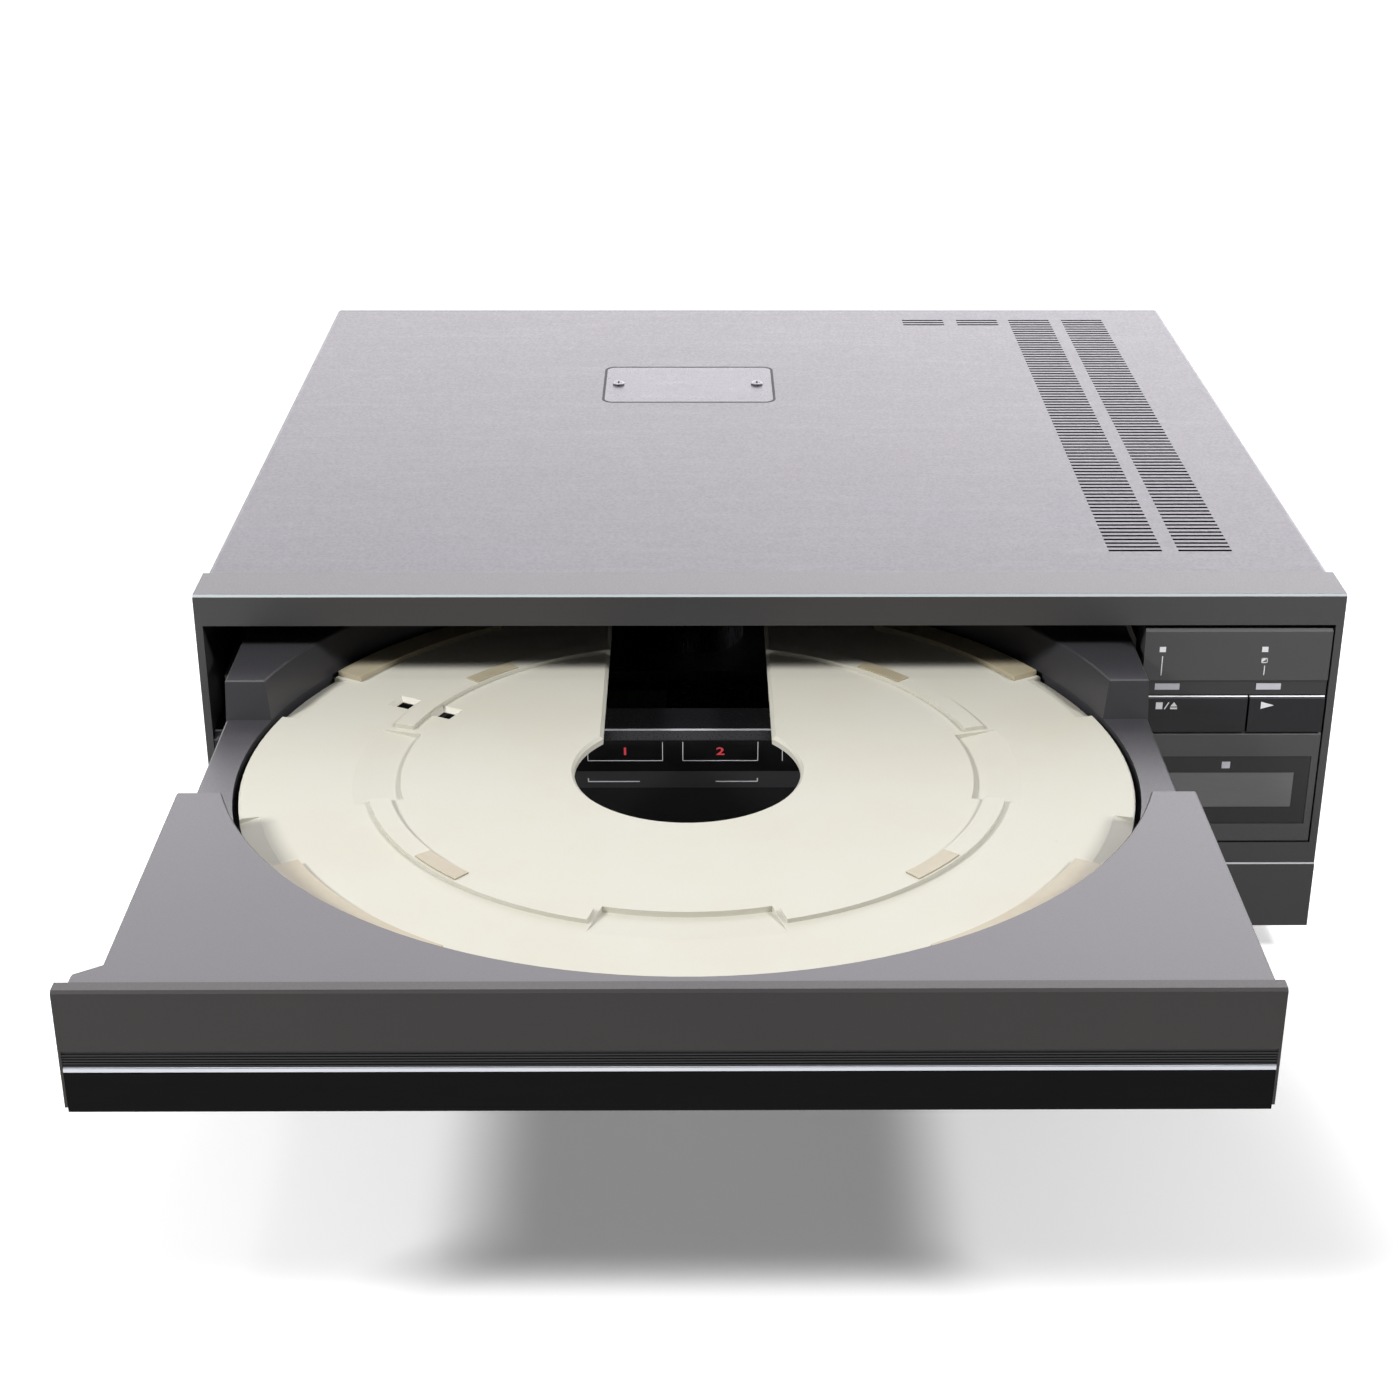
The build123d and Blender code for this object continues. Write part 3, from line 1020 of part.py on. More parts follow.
def make_clamp_bridge():
    """Sheet bridge over the closed tray, standing on both tray guides."""
    py, pz = CLAMP_PIVOT
    left, right = TRAY_X0 - 10.6, TRAY_X1 + 10.6
    y0, y1 = py - 12, py + 12
    z0 = pz + 7.5
    body = block(left, right, y0, y1, z0, z0 + 2)
    body += block(left, right, y1 - 2, y1, z0, z0 + 6)
    body += block(left, right, y0, y0 + 2, z0, z0 + 6)
    for a, b in ((left, left + 5), (right - 5, right)):
        body += path_bar(a, b, y0, y1, RUNNER_Z + 7, RUNNER_Z + 14, TRAY_REAR_Y)
        body += block(a, b, y0, y1, RUNNER_Z + 18, z0)
    for sx in (-1, 1):
        a, b = sorted((DISC_X + sx * (ARM_HALF_W + 0.5), DISC_X + sx * (ARM_HALF_W + 2.5)))
        body += block(a, b, py - 6, py + 6, pz - 5, z0)
    return body - rod_x(DISC_X - 30, DISC_X + 30, py, pz, 2.0)


def make_clamp_pivot_pin():
    py, pz = CLAMP_PIVOT
    return rod_x(DISC_X - ARM_HALF_W - 4, DISC_X + ARM_HALF_W + 4, py, pz, 2.0)


def lifted(shape):
    """Turn a clamp piece from its clamped place up to its rest place."""
    py, pz = CLAMP_PIVOT
    return Pos(0, py, pz) * Rot(-CLAMP_LIFT, 0, 0) * Pos(0, -py, -pz) * shape


def make_clamp_arm():
    py, pz = CLAMP_PIVOT
    y0 = SPINDLE_Y - 14
    z = PUCK_Z + 10.0
    w = ARM_HALF_W
    body = block(DISC_X - w, DISC_X + w, y0, py + 5, z, z + 1.6)
    for sx in (-1, 1):
        a, b = sorted((DISC_X + sx * w, DISC_X + sx * (w - 1.6)))
        body += block(a, b, y0 + 30, py + 5, z, pz + 4)
    body -= rod_x(DISC_X - 30, DISC_X + 30, py, pz, 2.0 + RUN)
    body -= post(DISC_X, SPINDLE_Y, z - 1, z + 3, 4.0 + RUN)
    return lifted(body)


def make_clamper():
    """Pressure plate with a recess for the cone, hung in the arm by its flanged stub."""
    z = PUCK_Z
    arm = z + 10.0
    profile = [(0, z + 5), (18.6, z + 5), (18.6, z), (24.0, z), (24.0, z + 5), (20, z + 8), (6, z + 8.5)]
    profile += [(6, arm - 0.2), (4.0, arm - 0.2), (4.0, arm + 1.8), (7.0, arm + 1.8), (7.0, arm + 3.2)]
    profile += [(0, arm + 3.2)]
    return lifted(turned(profile, 0, 360, DISC_X, SPINDLE_Y))


# ---- electronics --------------------------------------------------------------------------
def make_main_board():
    """Main board with its shield can, chips and coils."""
    x0, x1 = DISC_X - 76, DISC_X + 74
    z = BOARD_Z + 1.6
    body = block(x0, x1, SPINDLE_Y - 26, REAR - 44, BOARD_Z, z)
    body += block(x0 + 6, x0 + 66, SPINDLE_Y - 10, SPINDLE_Y + 50, z, z + 18)
    chips = [DISC_X + i * 18 for i in range(4)]
    body += [block(x, x + 9, SPINDLE_Y - 10, SPINDLE_Y + 24, z, z + 4) for x in chips]
    return body + [post(DISC_X + 10 + i * 20, SPINDLE_Y + 90, z, z + 14, 6.0) for i in range(3)]


def make_power_board():
    """Power board with its smoothing capacitors and fuse."""
    z = BOARD_Z + 1.6
    body = block(POWER_X0, POWER_X1, FACE + 60, FACE + 240, BOARD_Z, z)
    body += [post(POWER_X1 - 12, FACE + 90 + i * 28, z, z + 34, 9.0) for i in range(4)]
    return body + block(POWER_X0 + 4, POWER_X0 + 14, FACE + 205, FACE + 230, z, z + 12)


def make_heat_sink():
    """Finned extrusion on the power board, under the vents."""
    z = BOARD_Z + 1.6
    body = block(POWER_X0 + 4, POWER_X0 + 28, FACE + 80, FACE + 190, z, z + 6)
    for i in range(6):
        x = POWER_X0 + 4 + i * 4.4
        body += block(x, x + 2, FACE + 80, FACE + 190, z, z + 60)
    return body


def make_transformer():
    x0, y0 = POWER_X0, FACE + 262
    core = block(x0, x0 + 48, y0, y0 + 60, PAN_TOP + 3, PAN_TOP + 48)
    core += block(x0 + 8, x0 + 40, y0 - 8, y0 + 68, PAN_TOP + 10, PAN_TOP + 41)
    return core + block(x0, x0 + 48, y0 - 6, y0 + 66, PAN_TOP, PAN_TOP + 3)


# ---- write every piece --------------------------------------------------------------------
NODES = {
    "front_bezel": make_front_bezel, "top_cover": make_top_cover, "access_plate": make_access_plate,
    "casing_screws": make_casing_screws, "bottom_chassis": make_bottom_chassis, "feet": make_feet,
    "rear_panel": make_rear_panel, "phono_sockets": make_phono_sockets,
    "aerial_sockets": make_aerial_sockets, "cord_gland": make_cord_gland,
    "lower_panel": make_lower_panel, "display_window": make_display_window,
    "display_board": make_display_board, "power_key": make_power_key, "power_switch": make_power_switch,
    "control_header": make_control_header, "indicator_lenses": make_indicator_lenses,
    "remote_panel": make_remote_panel, "remote_window": make_remote_window,
    "remote_lens": make_remote_lens, "remote_indicator": make_remote_indicator,
    "stop_eject_key": make_stop_eject_key, "play_key": make_play_key, "key_board": make_key_board,
    "tray_frame": make_tray_frame, "tray_panel": make_tray_panel, "ribbed_band": make_ribbed_band,
    "trim_strip": make_trim_strip, "gloss_strip": make_gloss_strip, "tray_rack": make_tray_rack,
    "disc_holder": make_disc_holder, "outer_pads": make_outer_pads, "inner_pads": make_inner_pads,
    "tray_guide_left": make_tray_guide_left, "tray_guide_right": make_tray_guide_right,
    "drive_gear": make_drive_gear, "reduction_gear": make_reduction_gear,
    "motor_pulley": make_motor_pulley, "drive_belt": make_drive_belt,
    "loading_bracket": make_loading_bracket, "gear_shafts": make_gear_shafts,
    "loading_motor": make_loading_motor, "mechanism_base": make_mechanism_base, "dampers": make_dampers,
    "spindle_motor": make_spindle_motor, "turntable": make_turntable,
    "centring_cone": make_centring_cone, "guide_shafts": make_guide_shafts,
    "pickup_carriage": make_pickup_carriage, "objective_lens": make_objective_lens,
    "feed_gear": make_feed_gear, "feed_motor": make_feed_motor, "clamp_bridge": make_clamp_bridge,
    "clamp_pivot_pin": make_clamp_pivot_pin, "clamp_arm": make_clamp_arm, "clamper": make_clamper,
    "main_board": make_main_board, "power_board": make_power_board, "heat_sink": make_heat_sink,
    "transformer": make_transformer,
}

for name, make in NODES.items():
    export_step(make(), f"parts/{name}.step")
print(len(NODES), "pieces written; bezel face at y =", round(FACE, 3), "disc centre y =", round(DISC_Y, 3))
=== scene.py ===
# %% [markdown]
# # A front-loading disc player, dressed for its picture
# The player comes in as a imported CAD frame: a painted steel case, a moulded bezel, a wide tray that
# has slid out, and the mechanism behind it. The frame already has every true shape and size, so this
# notebook adds what CAD does not hold: finishes, printed marks, small fittings, light and a camera.
# Everything is in metres, and each CAD object sits at the origin with its place in its mesh.

# %% Load the frame and keep its size
import math
import bpy
from mathutils import Matrix, Vector


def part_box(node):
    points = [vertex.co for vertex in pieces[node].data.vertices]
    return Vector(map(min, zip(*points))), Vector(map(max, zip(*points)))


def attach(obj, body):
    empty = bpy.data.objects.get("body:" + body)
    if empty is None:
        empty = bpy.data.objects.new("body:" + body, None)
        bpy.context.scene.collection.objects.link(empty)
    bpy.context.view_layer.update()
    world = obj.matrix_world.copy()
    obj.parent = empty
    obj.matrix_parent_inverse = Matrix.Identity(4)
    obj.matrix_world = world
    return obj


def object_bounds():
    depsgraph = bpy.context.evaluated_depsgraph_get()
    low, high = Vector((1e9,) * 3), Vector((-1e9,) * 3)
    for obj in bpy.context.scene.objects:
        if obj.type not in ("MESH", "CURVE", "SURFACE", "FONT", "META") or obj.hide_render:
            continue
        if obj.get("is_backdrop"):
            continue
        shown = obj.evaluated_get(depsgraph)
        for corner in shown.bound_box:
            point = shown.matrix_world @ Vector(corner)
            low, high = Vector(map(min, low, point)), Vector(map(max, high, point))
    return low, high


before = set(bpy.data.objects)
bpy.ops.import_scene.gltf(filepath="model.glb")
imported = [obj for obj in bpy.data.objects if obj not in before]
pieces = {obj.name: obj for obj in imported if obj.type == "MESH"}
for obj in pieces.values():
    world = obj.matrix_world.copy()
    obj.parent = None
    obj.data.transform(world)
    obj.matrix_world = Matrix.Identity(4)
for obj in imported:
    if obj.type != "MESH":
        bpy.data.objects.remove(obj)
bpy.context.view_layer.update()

MM = 0.001

# %% [markdown]
# ## Helpers for materials
# Colours are written the way a paint chart or a picture editor shows them, as sRGB hex. Cycles
# works in linear light, so one function converts them. A second one adds a shader node with its
# settings, values and links, which keeps each recipe short enough to read from top to bottom.

# %% Colour and node helpers
COLOURS = {"data_type": "RGBA"}


def linear(code):
    """sRGB hex to linear RGBA."""
    parts = [int(code[i:i + 2], 16) / 255 for i in (1, 3, 5)]
    return tuple(c / 12.92 if c <= 0.04045 else ((c + 0.055) / 1.055) ** 2.4 for c in parts) + (1.0,)


def give(tree, node, **inputs):
    """Set a node's inputs, or link them where the value is a socket; i0, i1 count the sockets."""
    for key, value in inputs.items():
        numbered = key[0] == "i" and key[1:].isdigit()
        socket = node.inputs[int(key[1:]) if numbered else key.replace("_", " ")]
        if isinstance(value, bpy.types.NodeSocket):
            tree.links.new(value, socket)
        else:
            socket.default_value = value
    return node


def add(tree, kind, settings=None, **inputs):
    """Add one shader node with its settings, values and links."""
    made = tree.nodes.new(kind)
    for key, value in (settings or {}).items():
        setattr(made, key, value)
    return give(tree, made, **inputs)


# %% [markdown]
# Every material starts in the same way: a Principled surface, joined to its output. Patterns read
# Object coordinates, so a pattern keeps its real size on every piece and rides along when the piece
# moves. Sizes are given in millimetres and turned into the texture's scale.

# %% Start of a material
def blank(name):
    """A new material with a Principled surface; returns the material, its tree and the shader."""
    material = bpy.data.materials.new(name)
    material.use_nodes = True
    tree = material.node_tree
    tree.nodes.clear()
    shader = add(tree, "ShaderNodeBsdfPrincipled")
    add(tree, "ShaderNodeOutputMaterial", Surface=shader.outputs["BSDF"])
    print("finish:", name)
    return material, tree, shader


def place(tree, stretch=(1, 1, 1)):
    """Object coordinates in metres, stretched along an axis where a finish has a direction."""
    where = add(tree, "ShaderNodeTexCoord")
    return add(tree, "ShaderNodeMapping", Vector=where.outputs["Object"], Scale=stretch).outputs["Vector"]


def per(size_mm):
    """Texture scale that gives features of this size in millimetres."""
    return 1.0 / (size_mm * MM)


def coat(tree, shader, mask, tone):
    """Lay a second tone over the surface's colour, as much as the mask says."""
    under = shader.inputs["Base Color"].links[0].from_socket
    over = add(tree, "ShaderNodeMix", COLOURS, Factor=mask, A=under, B=linear(tone))
    give(tree, shader, Base_Color=over.outputs[2])


# %% [markdown]
# ## Moulded ABS
# Most of the player is injection-moulded ABS. The tool was spark-eroded, which leaves a fine even
# grain of about a quarter of a millimetre: it scatters the highlight and hides finger marks. Each
# grey has slow drifts of tone from handling and age, and a little more shine where it has been
# rubbed. The grain is drawn a little coarser than the real one so that it still shows at this size.

# %% Moulded plastic
ABS_IOR = 1.54
GRAIN_DEEP = 0.06 * MM


def moulded(name, tone, worn, rough, grain_mm=0.6, depth=0.10, drift=0.35, level=0.5):
    """ABS in one grey: tone drifts towards worn, the grain goes into roughness and bump."""
    material, tree, shader = blank(name)
    spot = place(tree)
    patches = add(tree, "ShaderNodeTexNoise", Vector=spot, Scale=per(60), Detail=5.0, Roughness=0.6)
    grain = add(tree, "ShaderNodeTexNoise", Vector=spot, Scale=per(grain_mm), Detail=2.0, Roughness=0.5)
    share = add(tree, "ShaderNodeMapRange", Value=patches.outputs["Fac"], From_Min=0.35, From_Max=0.75,
                To_Min=0.0, To_Max=drift)
    colour = add(tree, "ShaderNodeMix", COLOURS, Factor=share.outputs["Result"], A=linear(tone),
                 B=linear(worn))
    shine = add(tree, "ShaderNodeMapRange", Value=grain.outputs["Fac"], From_Min=0.3, From_Max=0.7,
                To_Min=rough - 0.06, To_Max=rough + 0.06)
    bump = add(tree, "ShaderNodeBump", Height=grain.outputs["Fac"], Strength=depth, Distance=GRAIN_DEEP)
    give(tree, shader, Base_Color=colour.outputs[2], Roughness=shine.outputs["Result"],
         Normal=bump.outputs["Normal"], IOR=ABS_IOR, Specular_IOR_Level=level)
    return material, tree, shader, spot


# %% [markdown]
# The outside wears four nearly equal greys, because the mouldings came from different tools and
# batches. The lower panel, the inner parts and the feet are black, and the gears and guides are
# natural acetal, a waxy white.

# %% The plain mouldings
tray_grey = moulded("tray ABS, charcoal", "#343336", "#3c3b3f", 0.34)[0]
bezel_grey = moulded("bezel ABS, charcoal", "#363536", "#3d3c3d", 0.38, level=0.45)[0]
panel_grey = moulded("tray front ABS, charcoal", "#282625", "#302e2c", 0.42, level=0.35)[0]
block_grey = moulded("control block ABS, charcoal", "#3b3a3b", "#424142", 0.45)[0]
sill_black = moulded("lower panel ABS, black", "#19191b", "#222224", 0.30, drift=0.5, level=0.22)[0]
inner_black = moulded("inner ABS, black", "#161617", "#202022", 0.50, drift=0.5, level=0.3)[0]
foot_black = moulded("foot ABS, black", "#1a1a1a", "#2a2a2a", 0.60)[0]
acetal_white = moulded("acetal, natural white", "#8f8d84", "#9a978c", 0.40, grain_mm=1.5, depth=0.05)[0]

# %% [markdown]
# ## Painted edge highlights
# The bezel's sharp edges catch thin pale highlights: the crest under its sloping top, the step of its
# lower rail and the front edge of the sill in the mouth. The highlights are painted into the colour, as
# the CAD mesh is left unchanged: a thin box is laid along the edge, and whatever of the surface lies in
# that box is lighter. Only depth and height are tested, as each edge runs right across.

# %% Painted edge highlights
BELOW = {"operation": "LESS_THAN"}
ABOVE = {"operation": "GREATER_THAN"}
NEAR = {"operation": "COMPARE"}
TIMES = {"operation": "MULTIPLY"}


def shader_of(material):
    """The Principled node of a material that is already made."""
    return next(node for node in material.node_tree.nodes if node.type == "BSDF_PRINCIPLED")


def painted_highlight(material, near_y, far_y, low_z, high_z, tone):
    """Paint a highlight: lighten the surface between two depths and two heights."""
    tree = material.node_tree
    at = add(tree, "ShaderNodeSeparateXYZ", Vector=place(tree))
    centre = ((near_y + far_y) / 2, (low_z + high_z) / 2)
    half = ((far_y - near_y) / 2, (high_z - low_z) / 2)
    in_y = add(tree, "ShaderNodeMath", NEAR, i0=at.outputs["Y"], i1=centre[0], i2=half[0])
    in_z = add(tree, "ShaderNodeMath", NEAR, i0=at.outputs["Z"], i1=centre[1], i2=half[1])
    inside = add(tree, "ShaderNodeMath", TIMES, i0=in_y.outputs[0], i1=in_z.outputs[0])
    coat(tree, shader_of(material), inside.outputs[0], tone)
    print(material.name, "rubbed at height", round(centre[1] / MM, 2), "mm")


# %% [markdown]
# The three boxes are placed from the bezel's and the sill's own boxes. The rail stands 0.6 mm proud
# of the bezel's face, and its step gets the palest painted highlight of all.

# %% The three painted edge highlights
bezel_low, bezel_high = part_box("front_bezel")
RAIL_PROUD = 0.6 * MM
RAIL_TOP_Z = bezel_low[2] + 27.6 * MM
SILL_TOP_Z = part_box("lower_panel")[1][2]
HIGHLIGHT_W, HIGHLIGHT_H, HIGHLIGHT_OVER = 0.8 * MM, 0.45 * MM, 0.1 * MM
painted_highlight(bezel_grey, bezel_low[1] - MM, bezel_low[1] + RAIL_PROUD, RAIL_TOP_Z - HIGHLIGHT_H,
       RAIL_TOP_Z + HIGHLIGHT_OVER, "#d6d6da")
CREST_Y = bezel_low[1] + RAIL_PROUD + 0.05 * MM
painted_highlight(bezel_grey, CREST_Y, CREST_Y + HIGHLIGHT_W, bezel_high[2] - 0.8 * MM, bezel_high[2] - 0.02 * MM, "#a6adb0")
SILL_EDGE_Y = bezel_low[1] + 3.6 * MM
painted_highlight(sill_black, SILL_EDGE_Y, SILL_EDGE_Y + HIGHLIGHT_W, SILL_TOP_Z - HIGHLIGHT_H, SILL_TOP_Z + HIGHLIGHT_OVER, "#a5a5aa")

# %% [markdown]
# ## The cream disc holder
# The round holder is a paler ABS. It is the one light part in a dark machine, so its shading has to
# show every rib and ramp: the surface is nearly matt and the colour stays even. Years of light have
# warmed it a little, most of all in broad cloudy patches, and a few specks of dust lie on it.

# %% Cream ABS
holder_cream, tree, shader, spot = moulded("holder ABS, aged cream", "#c3c1b6", "#bebaa9", 0.52,
                                           depth=0.06, drift=0.55)
specks = add(tree, "ShaderNodeTexVoronoi", {"feature": "F1"}, Vector=spot, Scale=per(22), Randomness=1.0)
dust = add(tree, "ShaderNodeMapRange", Value=specks.outputs["Distance"], From_Min=0.010, From_Max=0.022,
           To_Min=0.22, To_Max=0.0)
coat(tree, shader, dust.outputs["Result"], "#8c877a")
give(tree, shader, Subsurface_Weight=0.04, Subsurface_Radius=(0.0030, 0.0024, 0.0014), Subsurface_Scale=0.5)

# %% [markdown]
# ## Disc pads
# The pads that carry the disc are strips of translucent urethane. They have gone amber with age, and
# the cream plastic glows through them, so the colour is lighter at the middle than where the strip
# is thick. A soft, slightly waxy surface with a little subsurface light is enough.

# %% Aged urethane
pad_amber, tree, shader, spot = moulded("urethane pad, amber", "#aba28b", "#988c72", 0.38, grain_mm=2.0,
                                        depth=0.12, drift=0.9)
give(tree, shader, Subsurface_Weight=0.25, Subsurface_Radius=(0.0040, 0.0028, 0.0012), Subsurface_Scale=0.5)

# %% [markdown]
# ## Painted steel
# The cover is folded sheet steel with a baked, lightly pebbled enamel. The pebble is about a
# millimetre across. It breaks the reflection of the room into a soft sheen, which is why the lid
# looks so much paler than the bezel although both are grey. The enamel has a faint lavender cast.

# %% Baked enamel
ENAMEL_LEVEL = 0.36


def enamelled(name, tone, worn, rough, pebble_mm=1.1):
    """Pebbled baked enamel with faint rub marks that run along the player."""
    material, tree, shader, spot = moulded(name, tone, worn, rough, grain_mm=pebble_mm, depth=0.11,
                                           drift=0.5, level=ENAMEL_LEVEL)
    rubs = add(tree, "ShaderNodeTexNoise", Vector=place(tree, (1.0, 9.0, 1.0)), Scale=per(45), Detail=6.0,
               Roughness=0.7)
    lift = add(tree, "ShaderNodeMapRange", Value=rubs.outputs["Fac"], From_Min=0.5, From_Max=0.8,
               To_Min=0.0, To_Max=-0.05)
    pebbled = shader.inputs["Roughness"].links[0].from_socket
    total = add(tree, "ShaderNodeMath", {"operation": "ADD"}, i0=pebbled, i1=lift.outputs["Result"])
    give(tree, shader, Roughness=total.outputs["Value"])
    return material


cover_enamel = enamelled("baked enamel, lavender grey", "#47454b", "#4e4b53", 0.38)
plate_enamel = enamelled("baked enamel, access plate", "#4a4850", "#524f58", 0.33)

# %% [markdown]
# ## Painted shade in the slots and on the seat under the plate
# The vent slots show dark because their walls and what lies below them are in shade, and the seat under
# the access plate never sees light; both are darkened as painted shade, and their shine is taken away.
# Both belong to the same CAD mesh as the lid's top. They are told from it by where they are and how they
# face: a wall is upright and within the sheet's thickness, the seat is level but lies lower than the top.

# %% Painted shade in the slot walls and the seat
COVER_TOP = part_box("top_cover")[1][2]
HALF_SHEET = 0.6 * MM


def paint_slot_shade(material):
    """Paint shade: darken and dull the slot walls just below the lid's top, and the seat under the plate."""
    tree = material.node_tree
    shader = shader_of(material)
    height = add(tree, "ShaderNodeSeparateXYZ", Vector=place(tree)).outputs["Z"]
    normal = add(tree, "ShaderNodeNewGeometry").outputs["Normal"]
    facing = add(tree, "ShaderNodeSeparateXYZ", Vector=normal).outputs["Z"]
    upright = add(tree, "ShaderNodeMath", NEAR, i0=facing, i1=0.0, i2=0.3)
    sheet = add(tree, "ShaderNodeMath", NEAR, i0=height, i1=COVER_TOP - HALF_SHEET, i2=0.65 * MM)
    wall = add(tree, "ShaderNodeMath", TIMES, i0=upright.outputs[0], i1=sheet.outputs[0])
    level = add(tree, "ShaderNodeMath", ABOVE, i0=facing, i1=0.9)
    sunk = add(tree, "ShaderNodeMath", BELOW, i0=height, i1=COVER_TOP - HALF_SHEET)
    seat = add(tree, "ShaderNodeMath", TIMES, i0=level.outputs[0], i1=sunk.outputs[0])
    slot_shade = add(tree, "ShaderNodeMath", {"operation": "MAXIMUM"}, i0=wall.outputs[0], i1=seat.outputs[0])
    coat(tree, shader, slot_shade.outputs[0], "#0e0e0f")
    dull = add(tree, "ShaderNodeMapRange", Value=slot_shade.outputs[0], To_Min=ENAMEL_LEVEL, To_Max=0.0)
    give(tree, shader, Specular_IOR_Level=dull.outputs["Result"])


paint_slot_shade(cover_enamel)
paint_slot_shade(plate_enamel)
print("lid top at", round(COVER_TOP / MM, 2), "mm")

# %% [markdown]
# ## Gloss black acrylic
# The window in the lower panel and the strip along the tray's foot are polished black acrylic, and
# the remote eye is smoked. A polished black has almost no colour of its own, so what is seen is
# reflection: low roughness, a trace of fine wipe marks, and a specular level matched to how dark the
# strips stay in a bright room.

# %% Polished acrylic
def polished(name, tone, wiped, rough, level):
    """Polished acrylic with a few long wipe marks."""
    material, tree, shader = blank(name)
    wipes = add(tree, "ShaderNodeTexNoise", Vector=place(tree, (0.15, 1.0, 1.0)), Scale=per(3), Detail=6.0,
                Roughness=0.75)
    shine = add(tree, "ShaderNodeMapRange", Value=wipes.outputs["Fac"], From_Min=0.45, From_Max=0.8,
                To_Min=rough, To_Max=rough + 0.10)
    tint = add(tree, "ShaderNodeMix", COLOURS, Factor=wipes.outputs["Fac"], A=linear(tone), B=linear(wiped))
    give(tree, shader, Base_Color=tint.outputs[2], Roughness=shine.outputs["Result"], IOR=1.49,
         Specular_IOR_Level=level)
    return material, tree, shader


strip_black = polished("acrylic, gloss black", "#080809", "#0f0f10", 0.10, 0.06)[0]
sensor_filter = polished("infrared filter, smoked", "#696868", "#5e5d5d", 0.20, 0.30)[0]
sensor_frame = polished("infrared frame, dark", "#292929", "#232323", 0.16, 0.35)[0]

# %% [markdown]
# ## The display window's satin band
# The window is one sheet of acrylic, screen-printed from behind. A satin band runs along it below
# the lamp boxes, a shade lighter than the gloss above, and the part below the band is a dark grey.
# The bands are drawn by their height on the window, with crisp edges, as a printed film has.

# %% Window acrylic with its satin band
WINDOW_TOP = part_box("display_window")[1][2]
BAND_TOP, BAND_FOOT = WINDOW_TOP - 12.6 * MM, WINDOW_TOP - 19.5 * MM
window_black, tree, shader = polished("acrylic, window with satin band", "#070708", "#0f0f10", 0.08, 0.25)
height = add(tree, "ShaderNodeSeparateXYZ", Vector=place(tree)).outputs["Z"]
above = add(tree, "ShaderNodeMath", ABOVE, i0=height, i1=BAND_FOOT)
below = add(tree, "ShaderNodeMath", BELOW, i0=height, i1=BAND_TOP)
band = add(tree, "ShaderNodeMath", TIMES, i0=above.outputs[0], i1=below.outputs[0])
foot = add(tree, "ShaderNodeMath", BELOW, i0=height, i1=BAND_FOOT)
coat(tree, shader, foot.outputs[0], "#1f1f1f")
coat(tree, shader, band.outputs[0], "#2b2b2d")
gloss = shader.inputs["Roughness"].links[0].from_socket
satin = add(tree, "ShaderNodeMath", {"operation": "MULTIPLY_ADD"}, i0=band.outputs[0], i1=0.30, i2=gloss)
give(tree, shader, Roughness=satin.outputs[0])

# %% [markdown]
# ## Brushed keys
# The keys are faced with thin black anodised aluminium, brushed from side to side. Brushing leaves
# fine parallel scratches, so the texture is stretched a hundred times along X, and the scratches go
# into roughness, colour and a shallow bump. The cut top edge is bare metal, and its pale colour also
# paints in the highlight it catches: it is found by its slope of 45 degrees and by its height.

# %% Brushed black anodising
KEY_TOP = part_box("play_key")[1][2]
CREST_H = 0.35 * MM
key_black, tree, shader = blank("anodised aluminium, black brushed")
lines = add(tree, "ShaderNodeTexNoise", Vector=place(tree, (0.01, 1.0, 1.0)), Scale=per(0.5), Detail=3.0,
            Roughness=0.6)
tint = add(tree, "ShaderNodeMix", COLOURS, Factor=lines.outputs["Fac"], A=linear("#0d0d10"),
           B=linear("#1a1a1e"))
shine = add(tree, "ShaderNodeMapRange", Value=lines.outputs["Fac"], From_Min=0.3, From_Max=0.7,
            To_Min=0.30, To_Max=0.50)
bump = add(tree, "ShaderNodeBump", Height=lines.outputs["Fac"], Strength=0.15, Distance=0.03 * MM)
give(tree, shader, Base_Color=tint.outputs[2], Roughness=shine.outputs["Result"],
     Normal=bump.outputs["Normal"], Metallic=0.15, Specular_IOR_Level=0.4)

# %% The keys' cut top edge, with a painted highlight
normal = add(tree, "ShaderNodeNewGeometry").outputs["Normal"]
facing = add(tree, "ShaderNodeSeparateXYZ", Vector=normal).outputs["Z"]
tilted = add(tree, "ShaderNodeMath", NEAR, i0=facing, i1=math.sqrt(0.5), i2=0.15)
height = add(tree, "ShaderNodeSeparateXYZ", Vector=place(tree)).outputs["Z"]
crest = add(tree, "ShaderNodeMath", ABOVE, i0=height, i1=KEY_TOP - CREST_H)
bright = add(tree, "ShaderNodeMath", TIMES, i0=tilted.outputs[0], i1=crest.outputs[0])
# Pale tone on the cut edge: bare metal, with a painted highlight in it.
coat(tree, shader, bright.outputs[0], "#e6e6ea")
print("bright edge from", round((KEY_TOP - CREST_H) / MM, 2), "mm up")

# %% [markdown]
# ## Metals
# The sheet brackets and the base pan are zinc-plated steel, whose crystals show as faint facets two
# or three millimetres across. Ground shafts, plated motor cans and nickelled sockets share one recipe
# with finer marks. Cast parts have a coarse, dull skin. A metal keeps the shader's default IOR.

